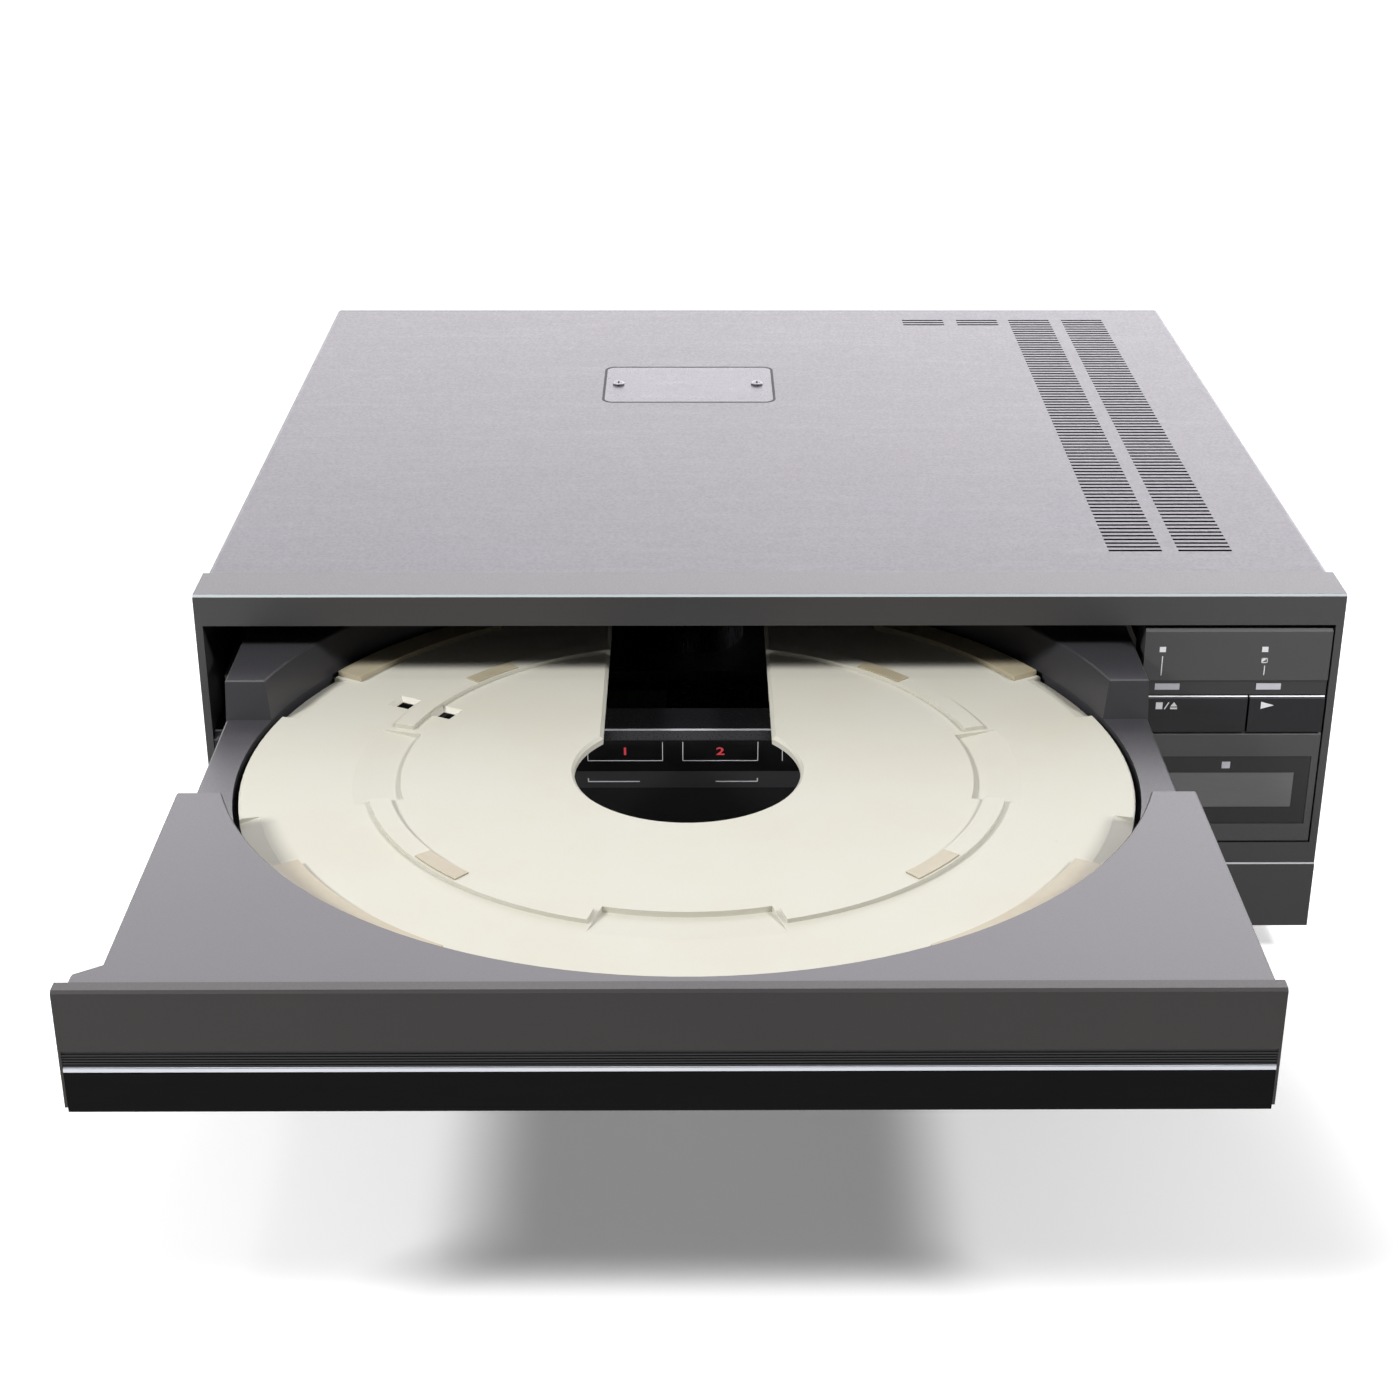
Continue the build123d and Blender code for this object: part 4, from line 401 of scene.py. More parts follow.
# %% Plated, ground and cast metal
def metal(name, tone, dull, rough, mark_mm, stretch=(1, 1, 1), depth=0.06):
    """Metal whose marks go into tone, roughness and a shallow bump."""
    material, tree, shader = blank(name)
    marks = add(tree, "ShaderNodeTexNoise", Vector=place(tree, stretch), Scale=per(mark_mm), Detail=4.0,
                Roughness=0.6)
    tint = add(tree, "ShaderNodeMix", COLOURS, Factor=marks.outputs["Fac"], A=linear(tone), B=linear(dull))
    shine = add(tree, "ShaderNodeMapRange", Value=marks.outputs["Fac"], From_Min=0.3, From_Max=0.7,
                To_Min=rough - 0.08, To_Max=rough + 0.08)
    bump = add(tree, "ShaderNodeBump", Height=marks.outputs["Fac"], Strength=depth, Distance=0.05 * MM)
    give(tree, shader, Base_Color=tint.outputs[2], Roughness=shine.outputs["Result"],
         Normal=bump.outputs["Normal"], Metallic=1.0)
    return material


zinc = metal("zinc-plated sheet steel", "#b9bcbc", "#8e9292", 0.38, 2.5)
shaft_steel = metal("ground steel shaft", "#c4c5c6", "#9fa0a2", 0.22, 0.5, (1, 0.05, 1))
motor_can = metal("plated motor can", "#a3a4a6", "#858688", 0.30, 1.0, (1, 1, 0.1))
cast_alloy = metal("die-cast alloy, as cast", "#9b9da0", "#7b7d80", 0.50, 1.6, depth=0.25)
nickel = metal("nickel plate", "#b7b4ab", "#98958c", 0.25, 1.0)
foil_trim = metal("bright foil strip", "#dde0e6", "#bfc3ca", 0.34, 0.6, (0.01, 1, 1))
sink_black = metal("anodised aluminium, heat sink", "#222223", "#161617", 0.45, 0.8, (1, 0.05, 1))
screw_steel = metal("screw steel, dull zinc", "#8d8d90", "#6f6f72", 0.42, 0.8)

# %% [markdown]
# ## Ribbed band, rubber, laminations and lenses
# A few small materials are left: black ribbed ABS under the tray's front, soft black rubber,
# varnished laminations, and the frosted lenses of the unlit indicators, which look pale grey because
# the diffuser behind them is white.

# %% The small materials
ribbed_black = moulded("ribbed ABS, black", "#1e1e20", "#272729", 0.45, level=0.35)[0]
soft_rubber = moulded("rubber, black", "#19191a", "#242425", 0.75, grain_mm=1.2, depth=0.3)[0]
lamination = moulded("varnished laminations", "#4a3c2c", "#5d4a33", 0.35, grain_mm=0.9, depth=0.3)[0]
frosted, tree, shader, spot = moulded("frosted lens, unlit", "#bcbcc3", "#b0b0b7", 0.55, grain_mm=0.8,
                                      depth=0.1)
give(tree, shader, Subsurface_Weight=0.1, Subsurface_Radius=(0.001, 0.001, 0.001))

# %% [markdown]
# ## Boards and the pickup's lens
# The circuit boards carry a green solder mask with the copper tracks just showing through it, drawn
# as the joints of a brick pattern 9 mm long. The lens is coated glass, blue with a violet swirl.

# %% Solder mask and coated glass
board_green, tree, shader, spot = moulded("solder mask, green", "#1d4a2c", "#255a36", 0.30, grain_mm=3.0)
tracks = add(tree, "ShaderNodeTexBrick", Vector=spot, Scale=per(9), Mortar_Size=0.06, Mortar_Smooth=0.1)
coat(tree, shader, tracks.outputs["Fac"], "#4c7a46")

lens_blue, tree, shader = blank("coated glass, blue")
swirl = add(tree, "ShaderNodeTexNoise", Vector=place(tree), Scale=per(4), Detail=2.0)
coating = add(tree, "ShaderNodeMix", COLOURS, Factor=swirl.outputs["Fac"], A=linear("#5a6fa0"),
              B=linear("#7d6aa8"))
give(tree, shader, Base_Color=coating.outputs[2], Roughness=0.06, Transmission_Weight=0.4)

# %% [markdown]
# ## The control block's darker band
# The header carries a recessed band just above the keys, moulded in the same piece and sprayed
# darker. The spray stops exactly at the step, so the colour can be chosen by height on the part.

# %% Header with its sprayed band
header_low, header_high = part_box("control_header")
STEP_Z = header_low[2] + 6.05 * MM
header_grey, tree, shader, spot = moulded("control header ABS, banded", "#3c3b3c", "#434243", 0.45)
height = add(tree, "ShaderNodeSeparateXYZ", Vector=spot).outputs["Z"]
sprayed = add(tree, "ShaderNodeMath", BELOW, i0=height, i1=STEP_Z)
coat(tree, shader, sprayed.outputs[0], "#262527")
print("sprayed up to", round(STEP_Z / MM, 2), "mm")

# %% [markdown]
# ## Give each CAD piece its finish
# The nodes keep their CAD shapes, so only their material slots change. The table below reads like a
# bill of materials: one line for each finish, and the pieces that wear it.

# %% Bill of finishes
finishes = {
    cover_enamel: ["top_cover"], plate_enamel: ["access_plate"], bezel_grey: ["front_bezel"],
    screw_steel: ["casing_screws"], foot_black: ["feet"], tray_grey: ["tray_frame"],
    panel_grey: ["tray_panel"], ribbed_black: ["ribbed_band"], foil_trim: ["trim_strip"],
    strip_black: ["gloss_strip"], holder_cream: ["disc_holder"], pad_amber: ["outer_pads", "inner_pads"],
    header_grey: ["control_header"], block_grey: ["remote_panel"], sensor_frame: ["remote_window"],
    sensor_filter: ["remote_lens"], frosted: ["indicator_lenses", "remote_indicator"],
    key_black: ["stop_eject_key", "play_key", "power_key"], sill_black: ["lower_panel"],
    window_black: ["display_window"],
    inner_black: ["power_switch", "cord_gland", "clamper", "motor_pulley", "clamp_arm"],
    zinc: ["bottom_chassis", "rear_panel", "loading_bracket", "clamp_bridge"],
    nickel: ["phono_sockets", "aerial_sockets"],
    shaft_steel: ["gear_shafts", "guide_shafts", "clamp_pivot_pin"],
    motor_can: ["loading_motor", "feed_motor", "spindle_motor"],
    cast_alloy: ["mechanism_base", "turntable", "pickup_carriage"],
    acetal_white: ["tray_rack", "tray_guide_left", "tray_guide_right", "drive_gear", "reduction_gear",
                   "feed_gear", "centring_cone"],
    board_green: ["display_board", "key_board", "main_board", "power_board"], sink_black: ["heat_sink"],
    soft_rubber: ["drive_belt", "dampers"], lamination: ["transformer"], lens_blue: ["objective_lens"],
}
dressed = set()
for material, names in finishes.items():
    for name in names:
        mesh = pieces[name].data
        mesh.materials.clear()
        mesh.materials.append(material)
        dressed.add(name)
print("dressed", len(dressed), "pieces; without a finish:", sorted(set(pieces) - dressed))

# %% [markdown]
# ## Modelling helpers
# Small fittings and prints are made as they would be by hand: a primitive at its true size and place,
# shaped in edit mode or by a bevel, then its place is applied, so that the object sits at the origin
# as the CAD pieces do. Parts of one fitting are joined, and the fitting rides on the body it belongs to.

# %% Helpers for small pieces
def begin():
    """Leave edit mode and select nothing."""
    if bpy.context.object and bpy.context.object.mode != "OBJECT":
        bpy.ops.object.mode_set(mode="OBJECT")
    bpy.ops.object.select_all(action="DESELECT")


def settle(obj):
    """Apply the piece's place, so its mesh holds it and the object stays at the origin."""
    begin()
    obj.select_set(True)
    bpy.context.view_layer.objects.active = obj
    bpy.ops.object.transform_apply(location=True, rotation=True, scale=True)
    return obj


def thicken(way):
    """Extrude all of the active flat piece along a vector and turn its faces outwards."""
    bpy.ops.object.mode_set(mode="EDIT")
    bpy.ops.mesh.select_all(action="SELECT")
    bpy.ops.mesh.extrude_region_move(TRANSFORM_OT_translate={"value": way})
    bpy.ops.mesh.select_all(action="SELECT")
    bpy.ops.mesh.normals_make_consistent(inside=False)
    bpy.ops.object.mode_set(mode="OBJECT")


def hollow(wall):
    """Inset the active flat piece by a wall's width and delete its middle."""
    bpy.ops.object.mode_set(mode="EDIT")
    bpy.ops.mesh.select_all(action="SELECT")
    bpy.ops.mesh.inset(thickness=wall)
    bpy.ops.mesh.delete(type="FACE")
    bpy.ops.object.mode_set(mode="OBJECT")


def bevelled(piece, width, segments, limit="NONE"):
    """Round the piece's edges with a bevel that is applied at once."""
    bevel = piece.modifiers.new("rounded edges", "BEVEL")
    bevel.width = width
    bevel.segments = segments
    bevel.limit_method = limit
    bpy.ops.object.modifier_apply(modifier=bevel.name)
    return piece


# %% Join a fitting and let it ride
def join(name, parts, material, body):
    """Join prints or fittings into one named piece that rides on a body."""
    begin()
    for part in parts:
        part.select_set(True)
    bpy.context.view_layer.objects.active = parts[0]
    if len(parts) > 1:
        bpy.ops.object.join()
    piece = bpy.context.object
    piece.name = piece.data.name = name
    piece.data.materials.clear()
    piece.data.materials.append(material)
    for polygon in piece.data.polygons:
        polygon.material_index = 0
    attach(piece, body)
    print(name, "made of", len(parts), "parts,", len(piece.data.polygons), "faces")
    return piece


# %% [markdown]
# ## Painted shade round the access plate
# The gap between the plate and the lid lies in shade, and a thin black ring is laid in it as painted shade,
# so it shows as a dark outline. It starts as a flat plane a little larger than the plate; its corners are
# rounded by a vertex bevel, an inset makes it a ring, the middle is deleted, and an extrusion gives the ring
# its thickness.

# %% Painted shade in the plate's gap
plate_low, plate_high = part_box("access_plate")
GAP_SHADE_OVER, GAP_SHADE_W, GAP_SHADE_T = 0.75 * MM, 1.15 * MM, 0.5 * MM
GAP_SHADE_PROUD, GAP_SHADE_CORNER = 0.06 * MM, 5.2 * MM
begin()
bpy.ops.mesh.primitive_plane_add(size=1, location=((plate_low[0] + plate_high[0]) / 2,
                                                   (plate_low[1] + plate_high[1]) / 2,
                                                   plate_high[2] - GAP_SHADE_T))
gap_shade = bpy.context.object
gap_shade.scale = (plate_high[0] - plate_low[0] + 2 * GAP_SHADE_OVER,
                plate_high[1] - plate_low[1] + 2 * GAP_SHADE_OVER, 1)
settle(gap_shade)
bpy.ops.object.mode_set(mode="EDIT")
bpy.ops.mesh.select_all(action="SELECT")
bpy.ops.mesh.bevel(offset=GAP_SHADE_CORNER, segments=8, affect="VERTICES")
hollow(GAP_SHADE_W)
thicken((0, 0, GAP_SHADE_T + GAP_SHADE_PROUD))
# The ring is painted shade; it wears the black rubber finish.
join("plate_gap_shade", [gap_shade], soft_rubber, "chassis")

# %% [markdown]
# ## Painted shade in the holder's two openings
# The holder has two small square openings that show black, as the inside below them lies in shade. Each
# is filled, just under its sloping rim, by a black gloss pane that stands in for that shade, so the square
# reads as black from any side. A cube is set at the true size and turned with the opening; a small bevel
# rounds its edges. Both are placed from the centre of the disc, which lies one holder radius behind the
# holder's front.

# %% Panes of painted shade
holder_low, holder_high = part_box("disc_holder")
HOLDER_R = 151.7 * MM
DISC_X, DISC_Y = (holder_low[0] + holder_high[0]) / 2, holder_low[1] + HOLDER_R
PANE_W, PANE_T, PANE_DOWN = 4.9 * MM, 1.0 * MM, 4.0 * MM
PANE_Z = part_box("inner_pads")[1][2] - PANE_DOWN
PANE_TURN = math.radians(-27.5)
PANE_OFFSETS = ((-102.8, 53.6), (-87.1, 45.1))
shade_panes = []
for across, along in PANE_OFFSETS:
    begin()
    bpy.ops.mesh.primitive_cube_add(size=1, scale=(PANE_W, PANE_W, PANE_T), rotation=(0, 0, PANE_TURN),
                                    location=(DISC_X + across * MM, DISC_Y + along * MM, PANE_Z))
    shade_panes.append(bevelled(settle(bpy.context.object), 0.15 * MM, 2))
# The panes are painted shade; they wear the gloss black acrylic.
join("holder_hole_shade", shade_panes, strip_black, "disc_holder")

# %% [markdown]
# ## Printing inks
# The marks are screen-printed: a dense, slightly raised film of ink, never quite even. White is used
# for the symbols, a greyer white for the window's fine lines, and a dull red, seen through the smoked
# window, for the lamp numbers, which carry a faint painted glow. On the zinc of the rear panel, as pale as
# white ink, black is used.

# %% Inks
white_ink = moulded("screen ink, white", "#dcdcdf", "#cfcfd3", 0.5, grain_mm=0.5, depth=0.1)[0]
line_ink = moulded("screen ink, pale line", "#cfcfd2", "#bdbdc1", 0.5, grain_mm=0.5, depth=0.1)[0]
black_ink = moulded("screen ink, black", "#1d1d1e", "#29292a", 0.5, grain_mm=0.5, depth=0.1)[0]
red_ink, tree, shader, spot = moulded("lamp legend, red", "#b8323c", "#9a2832", 0.5, grain_mm=0.5, depth=0.1)
# The emission paints a faint glow on the red ink; nothing lights it.
give(tree, shader, Emission_Color=linear("#c0303c"), Emission_Strength=0.35)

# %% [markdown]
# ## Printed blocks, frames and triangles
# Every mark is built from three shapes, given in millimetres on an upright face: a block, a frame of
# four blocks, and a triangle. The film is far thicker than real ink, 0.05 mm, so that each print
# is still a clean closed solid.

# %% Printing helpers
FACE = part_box("display_window")[0][1] / MM
INK_T = 0.05


def ink(x0, x1, z0, z1, y=FACE):
    """One flat block of printing ink that stands on the face at y, with softened edges."""
    begin()
    bpy.ops.mesh.primitive_cube_add(size=1, scale=((x1 - x0) * MM, INK_T * MM, (z1 - z0) * MM),
                                    location=((x0 + x1) / 2 * MM, (y - INK_T / 2) * MM, (z0 + z1) / 2 * MM))
    return bevelled(settle(bpy.context.object), 0.02 * MM, 1)


def outline(x0, x1, z0, z1, line, y=FACE, sides="LRTB"):
    """A printed frame; sides names the lines to draw."""
    spans = {"L": (x0, x0 + line, z0, z1), "R": (x1 - line, x1, z0, z1),
             "T": (x0, x1, z1 - line, z1), "B": (x0, x1, z0, z0 + line)}
    return [ink(*spans[side], y) for side in sides]


def wedge(corners, y=FACE):
    """A printed triangle: a three-cornered disc whose corners are moved to their places."""
    begin()
    bpy.ops.mesh.primitive_circle_add(vertices=3, radius=MM, fill_type="NGON")
    piece = settle(bpy.context.object)
    for vertex, (x, z) in zip(piece.data.vertices, corners):
        vertex.co = (x * MM, y * MM, z * MM)
    thicken((0, -INK_T * MM, 0))
    return piece


# %% [markdown]
# ## Marks on the control block
# The header carries two small squares that stand for a lit lamp, one half-filled square, and a thin
# leader from each down to its lens. The half-filled square is an outline with a triangle in it. All
# are measured from the header's left end and its top.

# %% Header marks
LEFT, TOP = header_low[0] / MM, header_high[2] / MM
header_parts = [ink(LEFT + x, LEFT + x + 2.3, TOP - 10.8, TOP - 8.7) for x in (5.5, 43.2)]
header_parts.append(ink(LEFT + 6.6, LEFT + 6.95, TOP - 20.2, TOP - 12.4))
header_parts.append(ink(LEFT + 44.6, LEFT + 44.95, TOP - 20.1, TOP - 16.3))
header_parts += outline(LEFT + 43.4, LEFT + 45.7, TOP - 15.2, TOP - 13.2, 0.3)
header_parts.append(wedge([(LEFT + 43.6, TOP - 13.4), (LEFT + 45.5, TOP - 13.4), (LEFT + 43.6, TOP - 15.0)]))
join("header_marks", header_parts, white_ink, "chassis")

# %% [markdown]
# ## Symbols on the keys
# These are the usual transport symbols: a square for stop, a triangle over a bar for eject, with a
# slash between them, and a triangle on its side for play. Each is measured from its key's left end
# and top, and rides on its own key. The slash is an upright block, turned about its own middle.

# %% Stop and eject symbols
KEY_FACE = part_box("play_key")[0][1] / MM
LEFT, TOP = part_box("stop_eject_key")[0][0] / MM, KEY_TOP / MM
SLASH_TURN = Matrix.Rotation(math.radians(28), 4, "Y")
slash = ink(LEFT + 9.2, LEFT + 9.65, TOP - 5.3, TOP - 2.1, KEY_FACE)
pivot = Vector(((LEFT + 9.42) * MM, 0, (TOP - 3.7) * MM))
slash.data.transform(Matrix.Translation(pivot) @ SLASH_TURN @ Matrix.Translation(-pivot))
stop = ink(LEFT + 5.4, LEFT + 7.9, TOP - 5.1, TOP - 2.3, KEY_FACE)
bar = ink(LEFT + 10.8, LEFT + 13.4, TOP - 5.1, TOP - 4.4, KEY_FACE)
arrow = wedge([(LEFT + 10.8, TOP - 4.0), (LEFT + 13.4, TOP - 4.0), (LEFT + 12.1, TOP - 2.2)], KEY_FACE)
join("stop_eject_mark", [stop, slash, bar, arrow], white_ink, "stop_eject_key")

# %% Play symbol
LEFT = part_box("play_key")[0][0] / MM
arrow = wedge([(LEFT + 4.3, TOP - 2.1), (LEFT + 4.3, TOP - 5.0), (LEFT + 9.2, TOP - 3.55)], KEY_FACE)
join("play_mark", [arrow], white_ink, "play_key")

# %% [markdown]
# ## Printing on the display window
# Two lamp boxes are outlined in fine lines, with a number in each, a third box begins at the right,
# and a bracket joins the first two from below. Only the plain numbers are drawn. The prints are
# measured from the middle of the disc, through whose hole they are seen, and from the window's top.

# %% Window lines
MIDDLE, TOP = DISC_X / MM, WINDOW_TOP / MM
BOXES = ((-37.7, -9.4), (-2.1, 26.3))
BOX_LINE, BRACKET_LINE = 0.3, 0.4
window_parts = []
for x0, x1 in BOXES:
    window_parts += outline(MIDDLE + x0, MIDDLE + x1, TOP - 8.3, TOP - 0.4, BOX_LINE, sides="LRB")
window_parts.append(ink(MIDDLE + 35.2, MIDDLE + 35.2 + BOX_LINE, TOP - 8.3, TOP - 2.2))
for x0, x1 in ((-37.7, -18.2), (10.4, 26.3)):
    window_parts.append(ink(MIDDLE + x0, MIDDLE + x1, TOP - 17.1, TOP - 17.1 + BRACKET_LINE))
for x in (-37.7, 25.9):
    window_parts.append(ink(MIDDLE + x, MIDDLE + x + BRACKET_LINE, TOP - 17.1, TOP - 15.5))
join("window_lines", window_parts, line_ink, "chassis")

# %% [markdown]
# The numbers are text objects: a wide, heavy figure is got by stretching the plain font sideways and
# swelling its outline. Text is made a mesh before its place is applied, as its curves have no mesh.

# %% Lamp numbers
NUMBER_H, NUMBER_WIDE, NUMBER_SWELL, NUMBER_T = 4.34, 1.5, 0.08, 0.02


def number(text, x, z):
    """A plain number, turned to face the front."""
    begin()
    bpy.ops.object.text_add(location=(x * MM, (FACE - NUMBER_T) * MM, z * MM), rotation=(math.pi / 2, 0, 0))
    piece = bpy.context.object
    piece.data.body = text
    piece.data.size = NUMBER_H * MM
    piece.data.extrude = NUMBER_T * MM
    piece.data.offset = NUMBER_SWELL * MM
    piece.scale = (NUMBER_WIDE, 1.0, 1.0)
    piece.data.align_x = "CENTER"
    piece.data.align_y = "CENTER"
    bpy.ops.object.convert(target="MESH")
    return settle(bpy.context.object)


numbers = [number("1", MIDDLE - 23.6, TOP - 4.4), number("2", MIDDLE + 12.1, TOP - 4.4)]
join("lamp_numbers", numbers, red_ink, "chassis")

# %% [markdown]
# ## Insulating rings round the rear sockets
# Each phono socket stands in a black moulded ring that keeps its shell clear of the steel panel. One
# ring starts as a filled circle against the panel. An inset with its middle deleted makes it a
# washer, an extrusion gives it depth and a bevel rounds its rim. Five copies have their own mesh.

# %% Socket rings
panel_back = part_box("rear_panel")[1][1]
sockets_low, sockets_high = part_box("phono_sockets")
RING_R, RING_W, RING_T = 6.6 * MM, 2.3 * MM, 1.4 * MM
SOCKET_EDGE, SOCKET_PITCH_X, SOCKET_PITCH_Z = 8.0 * MM, 20.0 * MM, 24.0 * MM
begin()
bpy.ops.mesh.primitive_circle_add(vertices=32, radius=RING_R, fill_type="NGON",
                                  rotation=(-math.pi / 2, 0, 0),
                                  location=(sockets_low[0] + SOCKET_EDGE, panel_back,
                                            sockets_low[2] + SOCKET_EDGE))
ring = settle(bpy.context.object)
hollow(RING_W)
thicken((0, RING_T, 0))
rings = [bevelled(ring, 0.3 * MM, 2, "ANGLE")]
for column, row in ((1, 0), (2, 0), (0, 1), (1, 1), (2, 1)):
    twin = ring.copy()
    twin.data = ring.data.copy()
    twin.data.transform(Matrix.Translation((column * SOCKET_PITCH_X, 0, row * SOCKET_PITCH_Z)))
    bpy.context.collection.objects.link(twin)
    rings.append(twin)
join("socket_rings", rings, inner_black, "chassis")

# %% [markdown]
# ## Frames printed on the rear panel
# A thin black line is printed round each group of sockets, as on most decks of the time. The two
# frames carry no words.

# %% Rear frames
BACK_Y = panel_back / MM + INK_T
FRAME_OUT, FRAME_LINE = 3.0, 0.6
rear_frames = []
for low, high in (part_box("phono_sockets"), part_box("aerial_sockets")):
    rear_frames += outline(low[0] / MM - FRAME_OUT, high[0] / MM + FRAME_OUT, low[2] / MM - FRAME_OUT,
                           high[2] / MM + FRAME_OUT, FRAME_LINE, BACK_Y)
join("rear_frames", rear_frames, black_ink, "chassis")

# %% [markdown]
# ## The floor
# The player stands on white paper. Real white paper is a little darker than the overexposed wall
# behind it, and never quite even.

# %% Paper floor
begin()
bpy.ops.mesh.primitive_plane_add(size=6.0, location=(0, 0, 0))
floor = settle(bpy.context.object)
floor.name = "floor"
paper_white, tree, shader = blank("white paper")
spot = place(tree)
cloudy = add(tree, "ShaderNodeTexNoise", Vector=spot, Scale=per(700), Detail=3.0)
paper = add(tree, "ShaderNodeMix", COLOURS, Factor=cloudy.outputs["Fac"], A=linear("#f6f5f5"),
            B=linear("#f2f1f1"))
give(tree, shader, Base_Color=paper.outputs[2], Roughness=0.7, Specular_IOR_Level=0.1)

# %% [markdown]
# The picture is overexposed, and the paper burns out to plain white away from the shadows. Exposure
# can't be raised for the floor alone, so the paper glows for the camera only: hardly at all under
# the tray, and more and more with the distance from it. The glow lights nothing.

# %% The paper burns out to white away from the player
SHADOW_MIDDLE, SHADOW_SHAPE = (-0.02, -0.33, 0.0), (1.6, 1.0, 0.0)
SMOOTH = {"interpolation_type": "SMOOTHSTEP"}
middle = add(tree, "ShaderNodeVectorMath", {"operation": "SUBTRACT"}, i0=spot, i1=SHADOW_MIDDLE)
flat = add(tree, "ShaderNodeVectorMath", TIMES, i0=middle.outputs[0], i1=SHADOW_SHAPE)
away = add(tree, "ShaderNodeVectorMath", {"operation": "LENGTH"}, i0=flat.outputs[0])
burn = add(tree, "ShaderNodeMapRange", SMOOTH, Value=away.outputs["Value"], From_Min=0.30, From_Max=0.52,
           To_Min=0.18, To_Max=0.8)
seen = add(tree, "ShaderNodeLightPath").outputs["Is Camera Ray"]
glow = add(tree, "ShaderNodeMath", TIMES, i0=seen, i1=burn.outputs["Result"])
give(tree, shader, Emission_Color=(1, 1, 1, 1), Emission_Strength=glow.outputs[0])
floor.data.materials.append(paper_white)
floor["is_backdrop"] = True

# %% [markdown]
# ## The room
# The world has three faces. The camera sees plain white. Mirrors and sheens see the bright wall
# behind the player and the lit ceiling, but a dark room in front: charcoal plastic seen from above
# looks pale, while the faces that look to the front keep their own tone. Matt surfaces get a soft
# light from all sides.

# %% What sheens mirror
WALL_SHEEN, CEILING_SHEEN = 3.7, 1.6
world = bpy.data.worlds.new("white room")
bpy.context.scene.world = world
world.use_nodes = True
tree = world.node_tree
tree.nodes.clear()
way = add(tree, "ShaderNodeTexCoord")
split = add(tree, "ShaderNodeSeparateXYZ", Vector=way.outputs["Generated"])
wall = add(tree, "ShaderNodeMapRange", SMOOTH, Value=split.outputs["Y"], From_Min=-0.15, From_Max=0.25,
           To_Min=0.04, To_Max=WALL_SHEEN)
side = add(tree, "ShaderNodeMapRange", Value=split.outputs["X"], From_Min=-0.5, From_Max=0.5,
           To_Min=0.78, To_Max=1.22)
wall = add(tree, "ShaderNodeMath", TIMES, i0=wall.outputs["Result"], i1=side.outputs["Result"])
ceiling = add(tree, "ShaderNodeMapRange", SMOOTH, Value=split.outputs["Z"], From_Min=0.60, From_Max=0.85,
              To_Min=0.0, To_Max=1.0)
sheen = add(tree, "ShaderNodeMix", {"data_type": "FLOAT"}, Factor=ceiling.outputs["Result"],
            i2=wall.outputs[0], i3=CEILING_SHEEN)
print("wall and ceiling mirrored at", WALL_SHEEN, "and", CEILING_SHEEN)

# %% The soft light of the room
ROOM_BACK, ROOM_TOP, ROOM_FRONT = 0.12, 0.09, 0.09
back = add(tree, "ShaderNodeMapRange", SMOOTH, Value=split.outputs["Y"], From_Min=-0.6, From_Max=0.5,
           To_Min=0.0, To_Max=ROOM_BACK)
high = add(tree, "ShaderNodeMapRange", SMOOTH, Value=split.outputs["Z"], From_Min=0.25, From_Max=0.9,
           To_Min=0.0, To_Max=ROOM_TOP)
room = add(tree, "ShaderNodeMath", {"operation": "ADD"}, i0=back.outputs["Result"], i1=high.outputs["Result"])
room = add(tree, "ShaderNodeMath", {"operation": "ADD"}, i0=room.outputs[0], i1=ROOM_FRONT)
print("soft light up to", ROOM_BACK + ROOM_TOP + ROOM_FRONT)

# %% Each ray gets its face of the world
SHEEN_TINT = (0.985, 0.955, 1.0, 1.0)
sight = add(tree, "ShaderNodeLightPath")
shiny = add(tree, "ShaderNodeMath", {"operation": "MAXIMUM"}, i0=sight.outputs["Is Glossy Ray"],
            i1=sight.outputs["Is Transmission Ray"])
picked = add(tree, "ShaderNodeMix", {"data_type": "FLOAT"}, Factor=shiny.outputs[0], i2=room.outputs[0],
             i3=sheen.outputs[0])
strength = add(tree, "ShaderNodeMix", {"data_type": "FLOAT"}, Factor=sight.outputs["Is Camera Ray"],
               i2=picked.outputs[0], i3=1.0)
tint = add(tree, "ShaderNodeMix", COLOURS, Factor=shiny.outputs[0], A=(1.0, 1.0, 1.0, 1.0), B=SHEEN_TINT)
sky = add(tree, "ShaderNodeBackground", Color=tint.outputs[2], Strength=strength.outputs[0])
add(tree, "ShaderNodeOutputWorld", Surface=sky.outputs["Background"])

# %% [markdown]
# ## The lamps
# Each lamp is a small soft box. Two stand low in front, one at each side, and a third hangs high at
# the left: three shadows cross under the tray. The low ones stand about 1.6 m from the player, just
# steep enough to light the cream holder a finger's width into the mouth and no further.

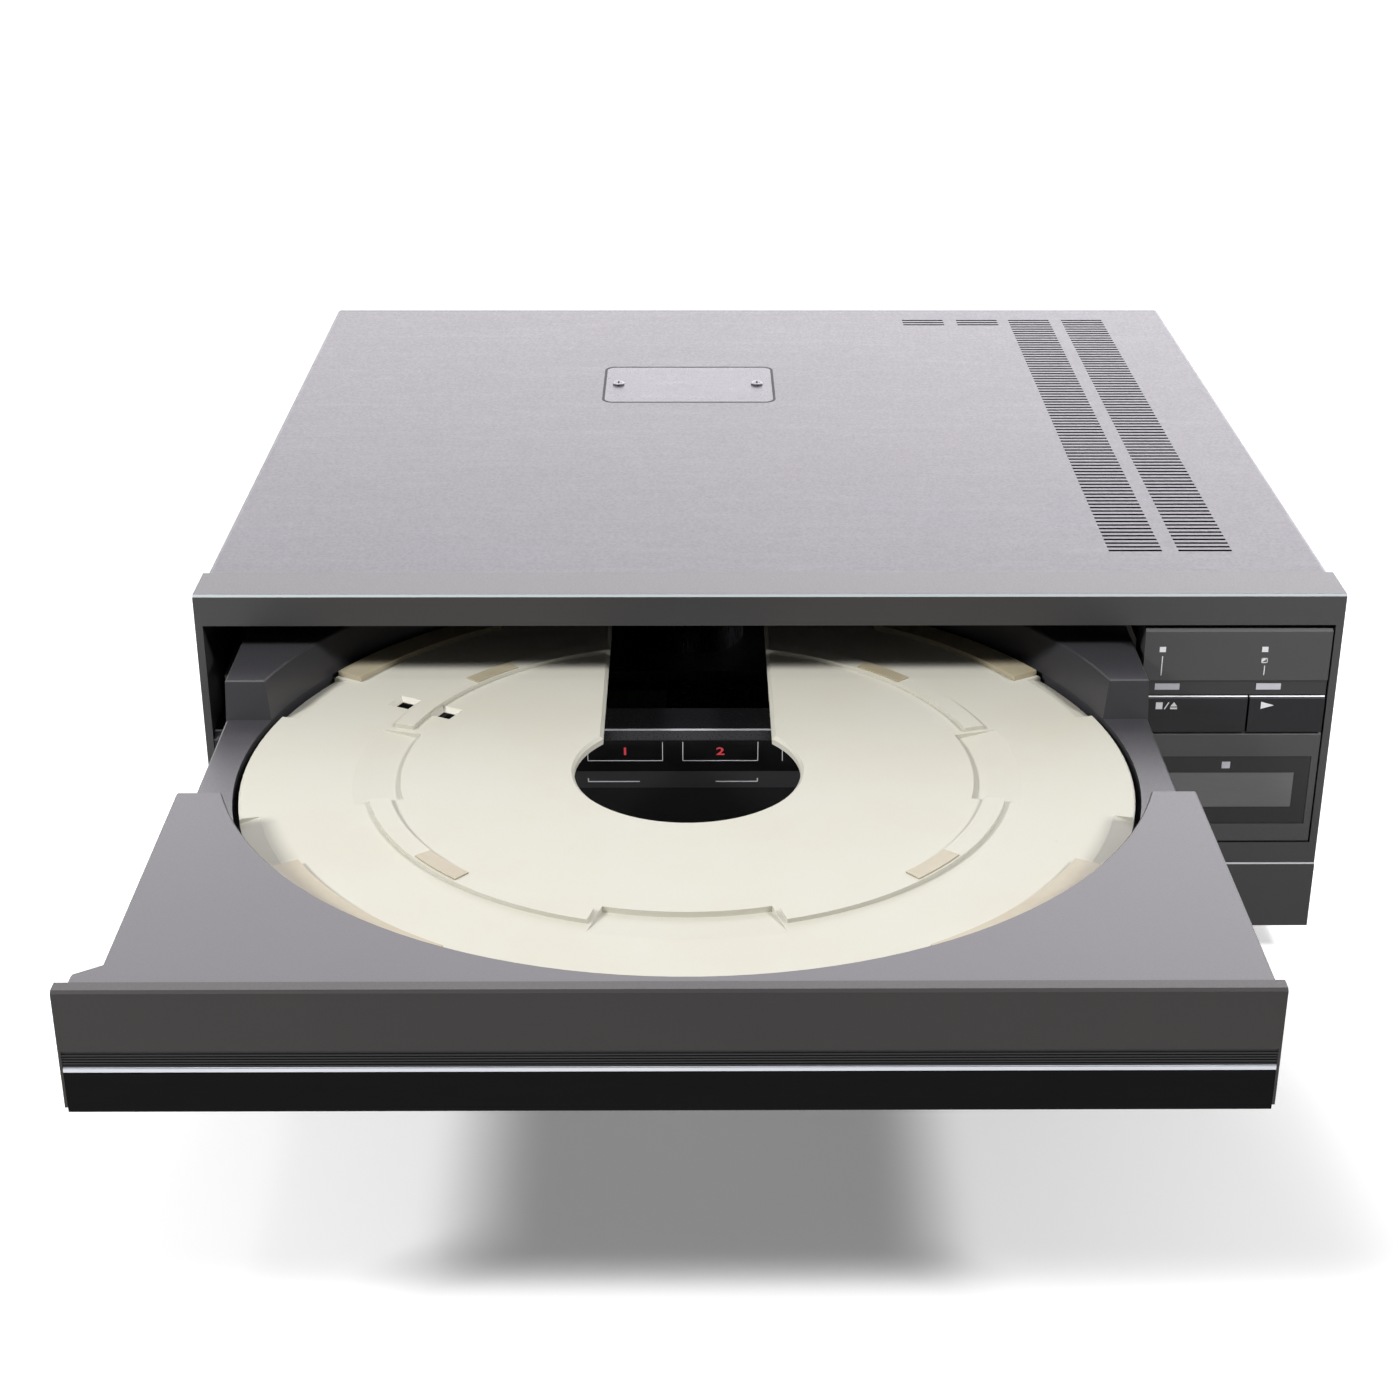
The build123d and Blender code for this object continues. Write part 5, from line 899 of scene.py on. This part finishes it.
# %% Lamps
TRAY_MIDDLE = Vector((-0.02, 0.10, 0.10))
LAMPS = (
    ("low lamp, left", (-1.135, -0.693, 1.066), 0.26, 22.0),
    ("low lamp, right", (0.978, -0.693, 1.066), 0.22, 14.5),
    ("high lamp, left", (-0.87, -0.60, 2.50), 0.30, 5.0),
)
for name, stand, size, watts in LAMPS:
    begin()
    bpy.ops.object.light_add(type="AREA", location=stand)
    lamp = bpy.context.object
    lamp.name = name
    lamp.data.shape = "SQUARE"
    lamp.data.size = size
    lamp.data.energy = watts
    aim = TRAY_MIDDLE - Vector(stand)
    lamp.rotation_euler = aim.to_track_quat("-Z", "Y").to_euler()
    print(name, round(aim.length, 3), "m away,", watts, "W")

# %% [markdown]
# ## The camera
# The picture was taken from above and in front, with a moderately long lens. The place, heading, tilt
# and roll below were solved from points on the object, so this camera frames the player as there.

# %% Camera
HEADING, TILT, ROLL = math.radians(0.471), math.radians(25.025), math.radians(0.124)
CAMERA_X, CAMERA_AHEAD, CAMERA_Z = -28.302 * MM, 793.273 * MM, 479.958 * MM
ahead = Vector((math.sin(HEADING) * math.cos(TILT), math.cos(HEADING) * math.cos(TILT), -math.sin(TILT)))
right = Vector((math.cos(HEADING), -math.sin(HEADING), 0.0))
up = right.cross(ahead)
turned_right = right * math.cos(ROLL) + up * math.sin(ROLL)
turned_up = up * math.cos(ROLL) - right * math.sin(ROLL)
begin()
bpy.ops.object.camera_add(location=(CAMERA_X, FACE * MM - CAMERA_AHEAD, CAMERA_Z))
camera = bpy.context.object
camera.rotation_euler = Matrix((turned_right, turned_up, -ahead)).transposed().to_euler()
camera.data.sensor_width = 36.0
camera.data.lens = 60.73
camera.data.shift_x = -0.00758
camera.data.clip_end = 50.0
bpy.context.scene.camera = camera
bpy.context.scene.view_settings.view_transform = "Standard"
print("camera", round(CAMERA_AHEAD, 3), "m before the bezel, lens", camera.data.lens, "mm")

# %% [markdown]
# ## The box of everything shown
# The box of everything shown is printed, where growth past the true size would show.

# %% Sizes
low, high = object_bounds()
print("visual box:", tuple(low), tuple(high))
